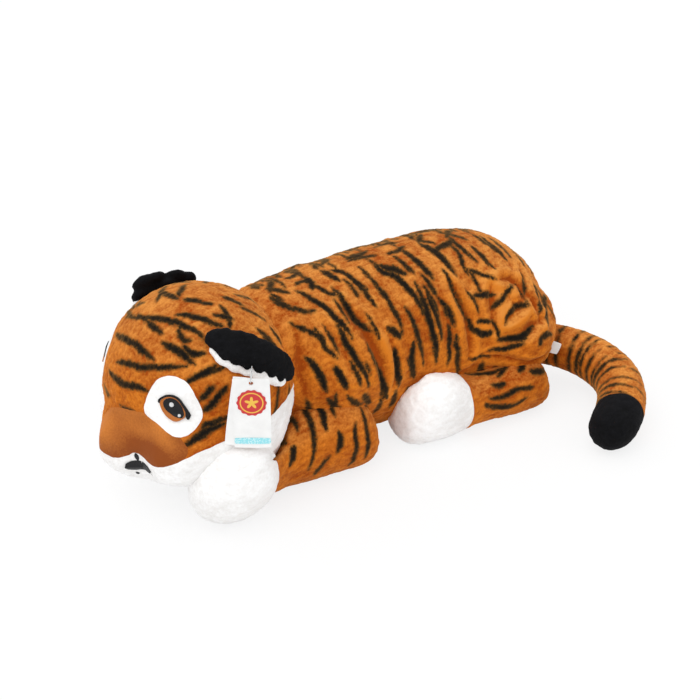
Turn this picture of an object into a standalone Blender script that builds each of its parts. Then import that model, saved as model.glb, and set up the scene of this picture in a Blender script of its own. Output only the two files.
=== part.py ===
"""A large plush tiger that lies on its belly, head forward and tail curled to its left.

Metres, +Z up. The tiger looks along -X, its left side is at -Y and the floor is z = 0.
The origin is on the flat of the belly, under the middle of the torso.

Every stuffed piece starts as a closed form. Its cloth is a Solidify shell of the form, cut open at its
seams, and its filling is the same form made smaller. A smaller form is cut by a larger one.
"""

import math

import bmesh
import bpy
from mathutils import Matrix, Vector

# Cloth, thread and cutting
CLOTH = 0.003
SEAM_GAP = 0.0003
CHIN_REST_GAP = 0.0045
FILLING_INSET = 0.0055
THREAD_THICKNESS = 0.0012
CUT_OVERRUN = 0.06
WELD_DISTANCE = 0.00001

# Torso
TORSO_LENGTH = 0.537
TORSO_WIDTH = 0.236
TORSO_HEIGHT = 0.252
NECK_OPENING_WIDTH = 0.10
NECK_OPENING_DEPTH = 0.016
SHOULDER_BULGE = 0.020
SHOULDER_REACH = 0.085
SHOULDER_SHARES = (0.24, 0.46)
HAUNCH_BULGE = 0.032
HAUNCH_REACH = 0.100
HAUNCH_SHARES = (0.83, 0.44)
NECK_SIDE_SHARE = 0.379
BELLY_TUCK_SHARE = 0.16
# Along from neck to rump, half width, top of the back and belly, as shares of the three torso sizes
TORSO_SHARES = (
    (0.00, 0.52, 0.82, 0.36),
    (0.06, 0.76, 0.98, 0.24),
    (0.17, 0.88, 1.03, 0.14),
    (0.33, 0.92, 1.04, -0.04),
    (0.50, 0.95, 1.035, -0.06),
    (0.66, 0.97, 1.015, -0.06),
    (0.79, 0.97, 0.965, -0.05),
    (0.91, 0.86, 0.84, 0.00),
    (0.985, 0.56, 0.64, 0.16),
)

# Head, whose lumps are placed from its middle
HEAD_LENGTH = 0.254
HEAD_WIDTH = 0.264
HEAD_HEIGHT = 0.264
HEAD_LIFT = 0.021
HEAD_AHEAD_OF_NECK = 0.037
MUZZLE_LENGTH = 0.126
MUZZLE_WIDTH = 0.106
MUZZLE_HEIGHT = 0.104
MUZZLE_SPREAD = 0.039
MUZZLE_FORWARD = 0.090
MUZZLE_DROP = 0.044
MUZZLE_TURN = math.radians(20)
MUZZLE_ROLL = math.radians(10)
CHIN_LENGTH = 0.112
CHIN_WIDTH = 0.104
CHIN_HEIGHT = 0.090
CHIN_FORWARD = 0.068
CHIN_DROP = 0.068
CHEEK_SIZE = 0.160
CHEEK_SPREAD = 0.054
CHEEK_DROP = 0.040
LUMP_SHARPNESS = 20.0
JAW_SEAM_DROP = 0.006
JAW_SEAM_SLOPE = math.radians(10.5)

# Face panels and embroidery, each outlined as seen from straight in front of it, from its middle
BRIDGE_WIDTH = 0.152
BRIDGE_HEIGHT = 0.062
BRIDGE_DROP = 0.015
BRIDGE_SHARES = (
    (0.00, 0.50),
    (0.18, 0.48),
    (0.32, 0.38),
    (0.41, 0.20),
    (0.45, 0.02),
    (0.49, -0.14),
    (0.50, -0.26),
    (0.47, -0.37),
    (0.40, -0.44),
    (0.30, -0.48),
    (0.19, -0.49),
    (0.08, -0.42),
    (0.00, -0.33),
)
EYE_AZIMUTH = math.radians(44)
EYE_RISE = math.radians(15)
PATCH_WIDTH = 0.0764
PATCH_HEIGHT = 0.0753
PATCH_SHARES = (
    (-0.08, 0.52),
    (0.08, 0.49),
    (0.21, 0.43),
    (0.33, 0.25),
    (0.44, 0.06),
    (0.48, -0.10),
    (0.42, -0.27),
    (0.32, -0.40),
    (0.10, -0.48),
    (-0.07, -0.42),
    (-0.24, -0.31),
    (-0.43, -0.24),
    (-0.52, -0.14),
    (-0.48, 0.08),
    (-0.39, 0.31),
    (-0.26, 0.46),
)
EYE_SIZE = 0.036
IRIS_SHARES = (
    (-0.50, 0.13),
    (-0.46, -0.05),
    (-0.32, -0.25),
    (-0.10, -0.41),
    (0.11, -0.47),
    (0.33, -0.38),
    (0.44, -0.26),
    (0.28, 0.12),
    (0.10, 0.31),
    (-0.15, 0.37),
    (-0.36, 0.30),
)
PUPIL_SHARES = (
    (-0.22, 0.31),
    (0.03, 0.31),
    (0.22, 0.17),
    (0.36, -0.08),
    (0.36, -0.31),
    (0.15, -0.33),
    (-0.10, -0.22),
    (-0.32, -0.03),
    (-0.36, 0.18),
)
LASH_SHARES = (
    (-0.58, 0.14),
    (-0.42, 0.35),
    (-0.16, 0.45),
    (0.14, 0.39),
    (0.36, 0.17),
    (0.57, -0.38),
    (0.42, -0.22),
    (0.22, 0.10),
    (0.06, 0.22),
    (-0.14, 0.27),
    (-0.32, 0.22),
    (-0.46, 0.10),
)
# Name, across, up and width of each glint, as shares of the eye's size
GLINT_SHARES = (("large_glint", -0.07, 0.10, 0.16), ("small_glint", 0.22, -0.26, 0.10))
MOUTH_WIDTH = 0.040
MOUTH_HEIGHT = 0.016
MOUTH_DROP = 0.056
MOUTH_SHARES = (
    (0.00, 0.50),
    (0.50, -0.26),
    (0.24, -0.50),
    (0.00, -0.44),
)
PHILTRUM_LENGTH = 0.010
PHILTRUM_WIDTH = 0.0024
WHISKER_DOT = 0.0042
WHISKER_SPREAD = 0.012
WHISKER_DROP = 0.072

# Ears, which fold over their lining
EAR_WIDTH = 0.126
EAR_HEIGHT = 0.080
EAR_LAYER = 0.0035
EAR_LINING_SHOW = 0.006
EAR_SEATED = 0.012
EAR_AZIMUTH = math.radians(103)
EAR_RISE = math.radians(43)
EAR_SLOPES = {-1: math.radians(-46), 1: math.radians(-25)}
EAR_LEAN = math.radians(5)
EAR_CURL = math.radians(122)
EAR_CURL_SHARE = 0.6
EAR_ROWS = 7
EAR_COLUMNS = 8
EAR_TIP_SHARE = 0.97

# Legs, which lie along the floor beside the torso
FORELEG_LENGTH = 0.292
FORELEG_WIDTH = 0.098
FORELEG_HEIGHT = 0.100
FORELEG_START = 0.176
FORELEG_OUTSET = -0.030
FORELEG_TOE_OUT = math.radians(-3)
FOREPAW_LENGTH = 0.112
HINDLEG_LENGTH = 0.276
HINDLEG_WIDTH = 0.092
HINDLEG_HEIGHT = 0.090
HINDLEG_END = 0.054
HINDLEG_OUTSET = 0.002
HINDLEG_TOE_OUT = math.radians(-6)
HINDPAW_LENGTH = 0.112
LEG_SETTLE = 0.003
# Along from the body end to the toes, half width, half height and outward as shares of the leg's sizes
FORELEG_SHARES = (
    (0.00, 0.66, 0.66, 0.04),
    (0.10, 0.98, 0.96, 0.04),
    (0.30, 1.00, 1.02, 0.00),
    (0.52, 0.94, 0.98, -0.02),
    (0.64, 1.04, 1.08, 0.04),
    (0.81, 1.18, 1.18, 0.18),
    (0.95, 0.92, 0.90, 0.30),
)
HINDLEG_SHARES = (
    (0.00, 0.60, 0.60, 0.00),
    (0.10, 0.94, 0.94, 0.00),
    (0.30, 1.00, 0.96, 0.00),
    (0.52, 0.90, 0.88, 0.00),
    (0.64, 1.06, 1.08, 0.00),
    (0.80, 1.22, 1.22, 0.00),
    (0.96, 0.92, 0.92, 0.00),
)

# Tail
TAIL_LENGTH = 0.348
TAIL_THICKNESS = 0.076
TAIL_BEND_RADIUS = 0.120
TAIL_HEADING = math.radians(-15)
TAIL_ROOT_INSET = 0.071
TAIL_ROOT_OFFSET = -0.039
TAIL_ROOT_LIFT = 0.026
TAIL_TIP_LENGTH = 0.072
TAIL_SHARES = (
    (0.00, 0.84, 1.00),
    (0.16, 0.86, 0.70),
    (0.32, 0.92, 0.30),
    (0.48, 0.98, 0.08),
    (0.64, 1.00, 0.00),
    (0.78, 1.02, 0.00),
    (0.90, 0.98, 0.00),
    (0.98, 0.60, 0.00),
)

# Sewn-in label behind the left haunch, and the folded card tag on the left ear
LABEL_WIDTH = 0.018
LABEL_LENGTH = 0.026
LABEL_THICKNESS = 0.0008
LABEL_SHARES = (0.870, 0.50, 0.37)
LABEL_TURN = math.radians(-20)
TAG_WIDTH = 0.046
TAG_HEIGHT = 0.100
CARD = 0.0008
TAG_EAR_SHARES = (0.0, 0.75)
TAG_FACING = math.radians(54)
TAG_FAN = math.radians(8)
TAG_HOLE = 0.0028
TAG_HOLE_DROP = 0.006
PRINT_THICKNESS = 0.0003
SEAL_WIDTH = 0.038
SEAL_DROP = 0.028
SEAL_SCALLOPS = 14
SEAL_SCALLOP_SHARE = 0.93
BAND_HEIGHT = 0.008
BAND_RISE = 0.006
LOOP_LENGTH = 0.036
LOOP_HEIGHT = 0.0125
LOOP_SEAT = 0.007
LOOP_AHEAD = 0.0045
LOOP_WIRE = 0.0006

# Where the sewn seams bend, which are the joints
NECK_PIVOT_BACK = 0.052
NECK_PIVOT_HEIGHT = 0.248
LEG_PIVOT_INSET = 0.020
TAIL_PIVOT_INSET = 0.025
TAIL_PIVOT_OFFSET = 0.069
TAIL_PIVOT_HEIGHT = 0.085

# How finely the forms are cut
TORSO_SIDES = 10
LEG_SIDES = 6
HEAD_SEGMENTS = 28
HEAD_RINGS = 16
SUBDIVISION = 1
CURVE_STEPS = 3
LOOP_SEGMENTS = 20
LOOP_SIDES = 6
PROFILE_STEPS = 24

LEFT = -1
RIGHT = 1
SIDES = (("left", LEFT), ("right", RIGHT))

NECK_X = -TORSO_LENGTH * NECK_SIDE_SHARE
RUMP_X = NECK_X + TORSO_LENGTH
HEAD_CENTRE = Vector((
    NECK_X - HEAD_AHEAD_OF_NECK,
    0,
    HEAD_HEIGHT / 2 + HEAD_LIFT,
))
AXIS_X = Vector((1, 0, 0))
AXIS_Y = Vector((0, 1, 0))
AXIS_Z = Vector((0, 0, 1))
HEAD_FRAME = Matrix.Translation(HEAD_CENTRE)


def clear_scene():
    for obj in list(bpy.data.objects):
        bpy.data.objects.remove(obj)


def new_collection(name):
    collection = bpy.data.collections.new(name)
    bpy.context.scene.collection.children.link(collection)
    return collection


def finish_material(name, colour, roughness, sheen=0.0):
    """A Principled BSDF finish; sheen is for cloth with a pile."""
    material = bpy.data.materials.new(name)
    material.use_nodes = True
    shader = material.node_tree.nodes["Principled BSDF"]
    shader.inputs["Base Color"].default_value = (*colour, 1)
    shader.inputs["Roughness"].default_value = roughness
    shader.inputs["Metallic"].default_value = 0
    shader.inputs["Sheen Weight"].default_value = sheen
    material.diffuse_color = (*colour, 1)
    return material


clear_scene()
TIGER = new_collection("plush_tiger")
CUTTERS = new_collection("cutters")
FINISHES = {
    "striped_fur": finish_material("striped_fur", (0.50, 0.17, 0.025), 0.95, 0.4),
    "brown_fur": finish_material("brown_fur", (0.42, 0.13, 0.03), 0.85, 0.4),
    "white_fur": finish_material("white_fur", (0.86, 0.85, 0.83), 0.95, 0.4),
    "black_fur": finish_material("black_fur", (0.008, 0.008, 0.010), 0.95, 0.2),
    "filling": finish_material("filling", (0.90, 0.90, 0.88), 1.0),
    "black_thread": finish_material("black_thread", (0.010, 0.010, 0.014), 0.5),
    "amber_thread": finish_material("amber_thread", (0.46, 0.17, 0.045), 0.5),
    "white_thread": finish_material("white_thread", (0.90, 0.90, 0.90), 0.5),
    "card": finish_material("card", (0.88, 0.89, 0.88), 0.45),
    "red_print": finish_material("red_print", (0.62, 0.03, 0.04), 0.4),
    "blue_print": finish_material("blue_print", (0.28, 0.72, 0.82), 0.4),
    "clear_plastic": finish_material("clear_plastic", (0.80, 0.80, 0.80), 0.2),
    "satin_ribbon": finish_material("satin_ribbon", (0.90, 0.90, 0.90), 0.4),
}


def new_object(name, mesh, collection=None):
    obj = bpy.data.objects.new(name, mesh)
    (collection or TIGER).objects.link(obj)
    return obj


def object_of_bmesh(name, bm, collection=None):
    mesh = bpy.data.meshes.new(name)
    bm.to_mesh(mesh)
    bm.free()
    return new_object(name, mesh, collection)


def helper(obj):
    """Marks an object as a guide or cutter, which isn't part of the toy."""
    obj.hide_render = True
    obj.display_type = "WIRE"
    return obj


def evaluated_mesh(obj):
    """The mesh that the object's modifiers make, in world space."""
    bpy.context.view_layer.update()
    graph = bpy.context.evaluated_depsgraph_get()
    mesh = bpy.data.meshes.new_from_object(obj.evaluated_get(graph))
    mesh.transform(obj.matrix_world)
    return mesh


def baked(obj):
    """The object as a plain helper of triangles, with its modifiers and placement applied."""
    name = obj.name
    bm = bmesh.new()
    bm.from_mesh(evaluated_mesh(obj))
    bmesh.ops.triangulate(bm, faces=bm.faces)
    bpy.data.objects.remove(obj)
    return helper(object_of_bmesh(name, bm, CUTTERS))


def subdivide(obj):
    modifier = obj.modifiers.new("subdivide", "SUBSURF")
    modifier.levels = SUBDIVISION
    modifier.render_levels = SUBDIVISION


def settle(form, level):
    """What would hang below a level lies flat on it instead."""
    for vertex in form.data.vertices:
        vertex.co.z = max(vertex.co.z, level)
    form.data.update()
    return form


def swell(form, centre, reach, push):
    """Pushes the cloth round a point outward, most at the point and not at all past its reach."""
    for vertex in form.data.vertices:
        share = (vertex.co - centre).length / reach
        if share < 1:
            vertex.co += push * (1 - share * share) ** 2
    form.data.update()


def ring_of_points(centre, side, up, half_width, half_height, count, tuck=0.0):
    """An oval ring, enlarged so that it has its size once it is subdivided; tuck narrows its lower half."""
    step = 2 * math.pi / count
    kept = (3 + math.cos(step)) / 4
    points = []
    for i in range(count):
        across, rise = math.cos(step * i), math.sin(step * i)
        width = half_width / kept * (1 + tuck * min(rise, 0))
        points.append(centre + side * (width * across) + up * (half_height / kept * rise))
    return points


def resting_level(inset):
    """How high a form's flat underside is: cloth lies on the floor, and filling on the cloth."""
    return CLOTH + SEAM_GAP if inset else 0


def ringed_form(name, rings, level):
    """A closed form through rings of points, rounded by subdivision and flat at a level."""
    bm = bmesh.new()
    loops = [[bm.verts.new(point) for point in ring] for ring in rings]
    count = len(loops[0])
    for first, second in zip(loops, loops[1:]):
        for i in range(count):
            j = (i + 1) % count
            bm.faces.new((first[i], first[j], second[j], second[i]))
    bm.faces.new(loops[0])
    bm.faces.new(loops[-1])
    bmesh.ops.recalc_face_normals(bm, faces=bm.faces)
    form = object_of_bmesh(name, bm, CUTTERS)
    subdivide(form)
    return settle(baked(form), level)


def drawn_in(path, inset):
    """A path with its two ends moved inward along it."""
    first, last = path[0], path[-1]
    start = first + (path[1] - first).normalized() * inset
    end = last + (path[-2] - last).normalized() * inset
    return [start, *path[1:-1], end]


def along(path):
    """For each point of a path: the point, the level direction across it and the one upward."""
    frames = []
    for i, point in enumerate(path):
        heading = (path[min(i + 1, len(path) - 1)] - path[max(i - 1, 0)]).normalized()
        side = heading.cross(AXIS_Z).normalized()
        frames.append((point, side, side.cross(heading)))
    return frames


def torso_side_point(shares, hand):
    """A point level with the torso's widest line, at shares of its length and height."""
    along_share, up_share = shares
    return Vector((
        NECK_X + along_share * TORSO_LENGTH,
        hand * TORSO_WIDTH / 2,
        up_share * TORSO_HEIGHT,
    ))


def torso_form(name, inset=0.0):
    """The torso, or its filling where it is inset."""
    path = [
        Vector((NECK_X + share * TORSO_LENGTH, 0, (top + belly) / 2 * TORSO_HEIGHT))
        for share, _, top, belly in TORSO_SHARES
    ]
    rings = [
        ring_of_points(
            middle,
            -AXIS_Y,
            AXIS_Z,
            wide * TORSO_WIDTH / 2 - inset,
            (top - belly) / 2 * TORSO_HEIGHT - inset,
            TORSO_SIDES,
            BELLY_TUCK_SHARE,
        )
        for middle, (_, wide, top, belly) in zip(drawn_in(path, inset), TORSO_SHARES)
    ]
    form = ringed_form(name, rings, resting_level(inset))
    for _, hand in SIDES:
        out = AXIS_Y * hand
        swell(form, torso_side_point(SHOULDER_SHARES, hand), SHOULDER_REACH, out * SHOULDER_BULGE)
        swell(form, torso_side_point(HAUNCH_SHARES, hand), HAUNCH_REACH, out * HAUNCH_BULGE)
    return form


def way_out(direction, centre, halves):
    """How far a ray from the origin runs until it leaves an ellipsoid, or 0 if it misses it."""
    d = Vector((direction[k] / halves[k] for k in range(3)))
    c = Vector((centre[k] / halves[k] for k in range(3)))
    a, b, e = d.dot(d), d.dot(c), c.dot(c) - 1
    inside = b * b - a * e
    if inside < 0:
        return 0
    return max((b + math.sqrt(inside)) / a, 0)


# The head's lumps of filling: middle, from the head's middle, and half sizes
SKULL_LUMPS = (
    (Vector((0, 0, 0)), Vector((HEAD_LENGTH, HEAD_WIDTH, HEAD_HEIGHT)) / 2),
    (Vector((0, -CHEEK_SPREAD, -CHEEK_DROP)), Vector((CHEEK_SIZE,) * 3) / 2),
    (Vector((0, CHEEK_SPREAD, -CHEEK_DROP)), Vector((CHEEK_SIZE,) * 3) / 2),
)
# The lumps that lean over together, in the muzzle's own frame
MUZZLE_LUMPS = (
    (
        Vector((-MUZZLE_FORWARD, -MUZZLE_SPREAD, -MUZZLE_DROP)),
        Vector((MUZZLE_LENGTH, MUZZLE_WIDTH, MUZZLE_HEIGHT)) / 2,
    ),
    (
        Vector((-MUZZLE_FORWARD, MUZZLE_SPREAD, -MUZZLE_DROP)),
        Vector((MUZZLE_LENGTH, MUZZLE_WIDTH, MUZZLE_HEIGHT)) / 2,
    ),
    (
        Vector((-CHIN_FORWARD, 0, -CHIN_DROP)),
        Vector((CHIN_LENGTH, CHIN_WIDTH, CHIN_HEIGHT)) / 2,
    ),
)
# The muzzle turns to the tiger's left and rolls over to its right, as the plush lies
MUZZLE_FRAME = Matrix.Rotation(MUZZLE_TURN, 4, AXIS_Z) @ Matrix.Rotation(-MUZZLE_ROLL, 4, AXIS_X)


def head_reach(direction):
    """How far the head's cloth is from its middle, one way."""
    turned_back = MUZZLE_FRAME.to_3x3().transposed() @ direction
    parts = [way_out(direction, centre, halves) for centre, halves in SKULL_LUMPS]
    parts += [way_out(turned_back, centre, halves) for centre, halves in MUZZLE_LUMPS]
    return sum(part ** LUMP_SHARPNESS for part in parts) ** (1 / LUMP_SHARPNESS)


def head_form(name, inset=0.0):
    """A ball that bulges where the muzzle, the chin and the cheeks are stuffed."""
    bm = bmesh.new()
    bmesh.ops.create_uvsphere(bm, u_segments=HEAD_SEGMENTS, v_segments=HEAD_RINGS, radius=1)
    for vertex in bm.verts:
        direction = vertex.co.normalized()
        vertex.co = HEAD_FRAME @ (direction * (head_reach(direction) - inset))
    return settle(baked(object_of_bmesh(name, bm, CUTTERS)), resting_level(inset))


def direction_of(azimuth, rise, hand):
    """A way out of the head: azimuth is turned from straight forward to one side, rise is upward."""
    return Vector((
        -math.cos(azimuth) * math.cos(rise),
        hand * math.sin(azimuth) * math.cos(rise),
        math.sin(rise),
    ))


def leg_form(name, start, heading, hand, size, shares, inset=0.0):
    """A leg that lies along the floor, with its underside pressed flat; size is length, width, height."""
    length, width, height = size
    outward = Vector((0, hand * width, 0))
    path = [
        start
        + heading * (share * length)
        + outward * out
        + AXIS_Z * (tall * height / 2 - LEG_SETTLE)
        for share, _, tall, out in shares
    ]
    rings = [
        ring_of_points(
            point, side, AXIS_Z, wide * width / 2 - inset, tall * height / 2 - inset, LEG_SIDES
        )
        for (point, side, _), (_, wide, tall, _) in zip(along(drawn_in(path, inset)), shares)
    ]
    return ringed_form(name, rings, resting_level(inset))


def heading_of(hand, toe_out):
    """The level way a leg points: forward, turned outward by toe_out."""
    return Vector((-math.cos(toe_out), hand * math.sin(toe_out), 0))


def foreleg_start(hand):
    return Vector((
        NECK_X + FORELEG_START,
        hand * (TORSO_WIDTH / 2 + FORELEG_OUTSET),
        0,
    ))


def hindleg_start(hand):
    return Vector((
        RUMP_X - HINDLEG_END,
        hand * (TORSO_WIDTH / 2 + HINDLEG_OUTSET),
        0,
    ))


def tail_point(distance, lift_share):
    """A point of the tail's middle, which runs round an arc on the floor from the rump."""
    turned_by = distance / TAIL_BEND_RADIUS
    root = Vector((RUMP_X - TAIL_ROOT_INSET, TAIL_ROOT_OFFSET, 0))
    right = Vector((math.sin(TAIL_HEADING), -math.cos(TAIL_HEADING), 0))
    hub = root + right * TAIL_BEND_RADIUS
    spoke = Matrix.Rotation(-turned_by, 3, "Z") @ (-right * TAIL_BEND_RADIUS)
    lift = TAIL_THICKNESS / 2 - LEG_SETTLE + lift_share * TAIL_ROOT_LIFT
    return hub + spoke + AXIS_Z * lift


def tail_form(name, inset=0.0):
    path = [tail_point(share * TAIL_LENGTH, lift) for share, _, lift in TAIL_SHARES]
    rings = []
    for (point, side, up), (_, size, _) in zip(along(drawn_in(path, inset)), TAIL_SHARES):
        half = size * TAIL_THICKNESS / 2 - inset
        rings.append(ring_of_points(point, side, up, half, half, LEG_SIDES))
    return ringed_form(name, rings, resting_level(inset))


def clear_of(form, name, gap=SEAM_GAP):
    """A helper with the form's outside moved out by a gap, which cuts the pieces next to it."""
    copy = new_object(name, evaluated_mesh(form), CUTTERS)
    push = copy.modifiers.new("push", "DISPLACE")
    push.mid_level = 0
    push.strength = gap
    return baked(copy)


def united(name, first, second):
    copy = new_object(name, first.data.copy(), CUTTERS)
    boolean(copy, second, "UNION")
    return baked(copy)


def boolean(obj, other, operation="DIFFERENCE"):
    modifier = obj.modifiers.new(f"{operation.lower()}_{other.name}", "BOOLEAN")
    modifier.operation = operation
    modifier.object = other
    modifier.solver = "EXACT"


def finish(obj, finish_name):
    obj.data.materials.clear()
    obj.data.materials.append(FINISHES[finish_name])
    obj.data.shade_smooth()
    return obj


def skin(name, form, finish_name, keep=(), leave=()):
    """The cloth of a form as a shell: the part inside each helper of keep and outside each one of leave."""
    obj = new_object(name, form.data.copy())
    shell = obj.modifiers.new("cloth", "SOLIDIFY")
    shell.thickness = CLOTH
    shell.offset = -1
    for region in keep:
        boolean(obj, region, "INTERSECT")
    for region in leave:
        boolean(obj, region)
    return finish(obj, finish_name)


def filling(name, form, leave=()):
    """The fibre filling: a form that is small enough to fit inside the cloth."""
    obj = new_object(name, form.data.copy())
    for region in leave:
        boolean(obj, region)
    return finish(obj, "filling")


def slab(name, face_point, direction, size):
    """A helper block with its near face at face_point, filling the side that direction points to."""
    bm = bmesh.new()
    bmesh.ops.create_cube(bm, size=size)
    block = object_of_bmesh(name, bm, CUTTERS)
    block.rotation_mode = "QUATERNION"
    block.rotation_quaternion = direction.to_track_quat("Z", "Y")
    block.location = face_point + direction.normalized() * size / 2
    return helper(block)


def smooth_outline(name, points):
    """A flat closed curve through the points, which lie in its own X and Y."""
    curve = bpy.data.curves.new(name, "CURVE")
    curve.dimensions = "2D"
    curve.fill_mode = "BOTH"
    curve.resolution_u = CURVE_STEPS
    spline = curve.splines.new("BEZIER")
    spline.bezier_points.add(len(points) - 1)
    for knot, (x, y) in zip(spline.bezier_points, points):
        knot.co = (x, y, 0)
        knot.handle_left_type = "AUTO"
        knot.handle_right_type = "AUTO"
    spline.use_cyclic_u = True
    return curve


def plate(name, points, depth, placement, collection=None):
    """The outline swept from the placement's origin to depth along its +Z, as one closed mesh."""
    curve = smooth_outline(name, points)
    curve.extrude = depth / 2
    obj = new_object(name, curve, CUTTERS)
    obj.matrix_world = placement @ Matrix.Translation(AXIS_Z * depth / 2)
    mesh = evaluated_mesh(obj)
    bpy.data.objects.remove(obj)
    bm = bmesh.new()
    bm.from_mesh(mesh)
    bmesh.ops.remove_doubles(bm, verts=bm.verts, dist=WELD_DISTANCE)
    bmesh.ops.recalc_face_normals(bm, faces=bm.faces)
    bm.to_mesh(mesh)
    bm.free()
    return new_object(name, mesh, collection)


def prism(name, points, depth, placement):
    return helper(plate(name, points, depth, placement, CUTTERS))


def looking_out(direction, point):
    """A placement at point whose +Z points along direction, with +Y upward and +X level."""
    out = direction.normalized()
    level = AXIS_Z.cross(out).normalized()
    turn = Matrix((level, out.cross(level), out)).transposed().to_4x4()
    return Matrix.Translation(point) @ turn


def mirrored(points):
    """A half outline, given from top to bottom on one side, with its other half."""
    return list(points) + [(-x, y) for x, y in reversed(points) if x]


def scaled(shares, width, height, hand=LEFT):
    """Shares of an outline as lengths, flipped for the tiger's right side."""
    return [(-hand * x * width, y * height) for x, y in shares]


def grown(points):
    """An outline moved out by the seam gap."""
    middle = sum((Vector(point) for point in points), Vector((0, 0))) / len(points)
    moved = []
    for point in points:
        away = Vector(point) - middle
        moved.append(tuple(middle + away + away.normalized() * SEAM_GAP))
    return moved


def oval(width, middle=(0, 0), count=8):
    """The points of a round outline."""
    return [
        (
            middle[0] + width / 2 * math.cos(2 * math.pi * i / count),
            middle[1] + width / 2 * math.sin(2 * math.pi * i / count),
        )
        for i in range(count)
    ]


def eye_placement(hand):
    """At the head's middle, looking out through an eye."""
    return HEAD_FRAME @ looking_out(direction_of(EYE_AZIMUTH, EYE_RISE, hand), Vector())


def face_placement(drop):
    """At the muzzle's middle line less a drop, looking straight out of the muzzle."""
    return HEAD_FRAME @ MUZZLE_FRAME @ looking_out(-AXIS_X, -AXIS_Z * drop)


def stitched(name, finish_name, region, leave=()):
    """Satin stitch that lies on the head's cloth inside a region."""
    obj = new_object(name, HEAD.data.copy())
    top = obj.modifiers.new("thread_top", "DISPLACE")
    top.mid_level = 0
    top.strength = SEAM_GAP + THREAD_THICKNESS
    boolean(obj, region, "INTERSECT")
    for taken in (HEAD_CLEAR, *leave):
        boolean(obj, taken)
    return finish(obj, finish_name)


def hung_on(parent, children):
    """Parents the children without moving them."""
    bpy.context.view_layer.update()
    for child in children:
        child.parent = parent
        child.matrix_parent_inverse = parent.matrix_world.inverted()


def pivot_at(obj, point):
    """Moves an object's origin to its joint, and leaves its shape where it is."""
    bpy.context.view_layer.update()
    move = Matrix.Translation(point) @ obj.matrix_world.to_3x3().to_4x4()
    obj.data.transform(move.inverted() @ obj.matrix_world)
    obj.matrix_world = move


def make_torso():
    """The striped body cloth, open at the neck under the head, and its filling."""
    opening = slab(
        "neck_opening",
        Vector((NECK_X + NECK_OPENING_DEPTH, 0, HEAD_CENTRE.z)),
        -AXIS_X,
        NECK_OPENING_WIDTH,
    )
    body = skin("torso_skin", TORSO, "striped_fur", leave=[opening])
    inside = filling("torso_filling", torso_form("torso_inside", FILLING_INSET))
    hung_on(body, [inside])
    return body


def make_head():
    """Crown, nose bridge, jaw and eye patches: panels of one skin, sewn edge to edge over the filling."""
    reach = HEAD_LENGTH + MUZZLE_LENGTH
    bridge_points = mirrored(scaled(BRIDGE_SHARES, BRIDGE_WIDTH, BRIDGE_HEIGHT))
    front = face_placement(BRIDGE_DROP)
    bridge = prism("bridge_region", bridge_points, reach, front)
    round_bridge = prism("round_bridge", grown(bridge_points), reach, front)
    seam_up = Matrix.Rotation(-JAW_SEAM_SLOPE, 3, AXIS_Y) @ AXIS_Z
    seam_point = HEAD_CENTRE - AXIS_Z * JAW_SEAM_DROP
    above = slab("above_jaw_seam", seam_point, seam_up, 2 * reach)
    below = slab("below_jaw_seam", seam_point + seam_up * SEAM_GAP, -seam_up, 2 * reach)
    crown_leave, round_patches, panels = [TORSO_CLEAR, below, round_bridge], [], []
    for side, hand in SIDES:
        points = scaled(PATCH_SHARES, PATCH_WIDTH, PATCH_HEIGHT, hand)
        place = eye_placement(hand)
        region = prism(f"patch_region_{side}", points, reach, place)
        round_patches.append(prism(f"round_patch_{side}", grown(points), reach, place))
        panels.append(skin(f"eye_patch_{side}", HEAD, "white_fur", keep=[region], leave=[below]))
    crown = skin("head_crown", HEAD, "striped_fur", leave=[*crown_leave, *round_patches])
    panels.append(skin("nose_bridge", HEAD, "brown_fur", keep=[bridge], leave=round_patches))
    panels.append(skin("jaw", HEAD, "white_fur", leave=[TORSO_CLEAR, above, round_bridge]))
    inside = head_form("head_inside", FILLING_INSET)
    panels.append(filling("head_filling", inside, leave=[TORSO_CLEAR]))
    pivot_at(crown, NECK_PIVOT)
    hung_on(crown, panels)
    return crown


def make_eye(side, hand):
    """An embroidered eye: amber iris, black pupil, two white glints and the lash line over them."""
    place = eye_placement(hand)

    def region(name, points):
        return prism(f"{name}_{side}", points, HEAD_LENGTH, place)

    iris = scaled(IRIS_SHARES, EYE_SIZE, EYE_SIZE, hand)
    pupil = scaled(PUPIL_SHARES, EYE_SIZE, EYE_SIZE, hand)
    lash = scaled(LASH_SHARES, EYE_SIZE, EYE_SIZE, hand)
    round_pupil = region("round_pupil", grown(pupil))
    round_iris = region("round_iris", grown(iris))
    pieces, in_pupil = [], []
    for name, x, y, size in GLINT_SHARES:
        glint = oval(size * EYE_SIZE, (-hand * x * EYE_SIZE, y * EYE_SIZE))
        in_pupil.append(region(f"round_{name}", grown(glint)))
        pieces.append(stitched(f"{name}_{side}", "white_thread", region(f"{name}_region", glint)))
    for name, finish_name, outline, taken in (
        ("iris", "amber_thread", iris, [round_pupil]),
        ("pupil", "black_thread", pupil, in_pupil),
        ("lash", "black_thread", lash, [round_iris]),
    ):
        shape = region(f"{name}_region", outline)
        pieces.append(stitched(f"{name}_{side}", finish_name, shape, taken))
    return pieces


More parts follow.
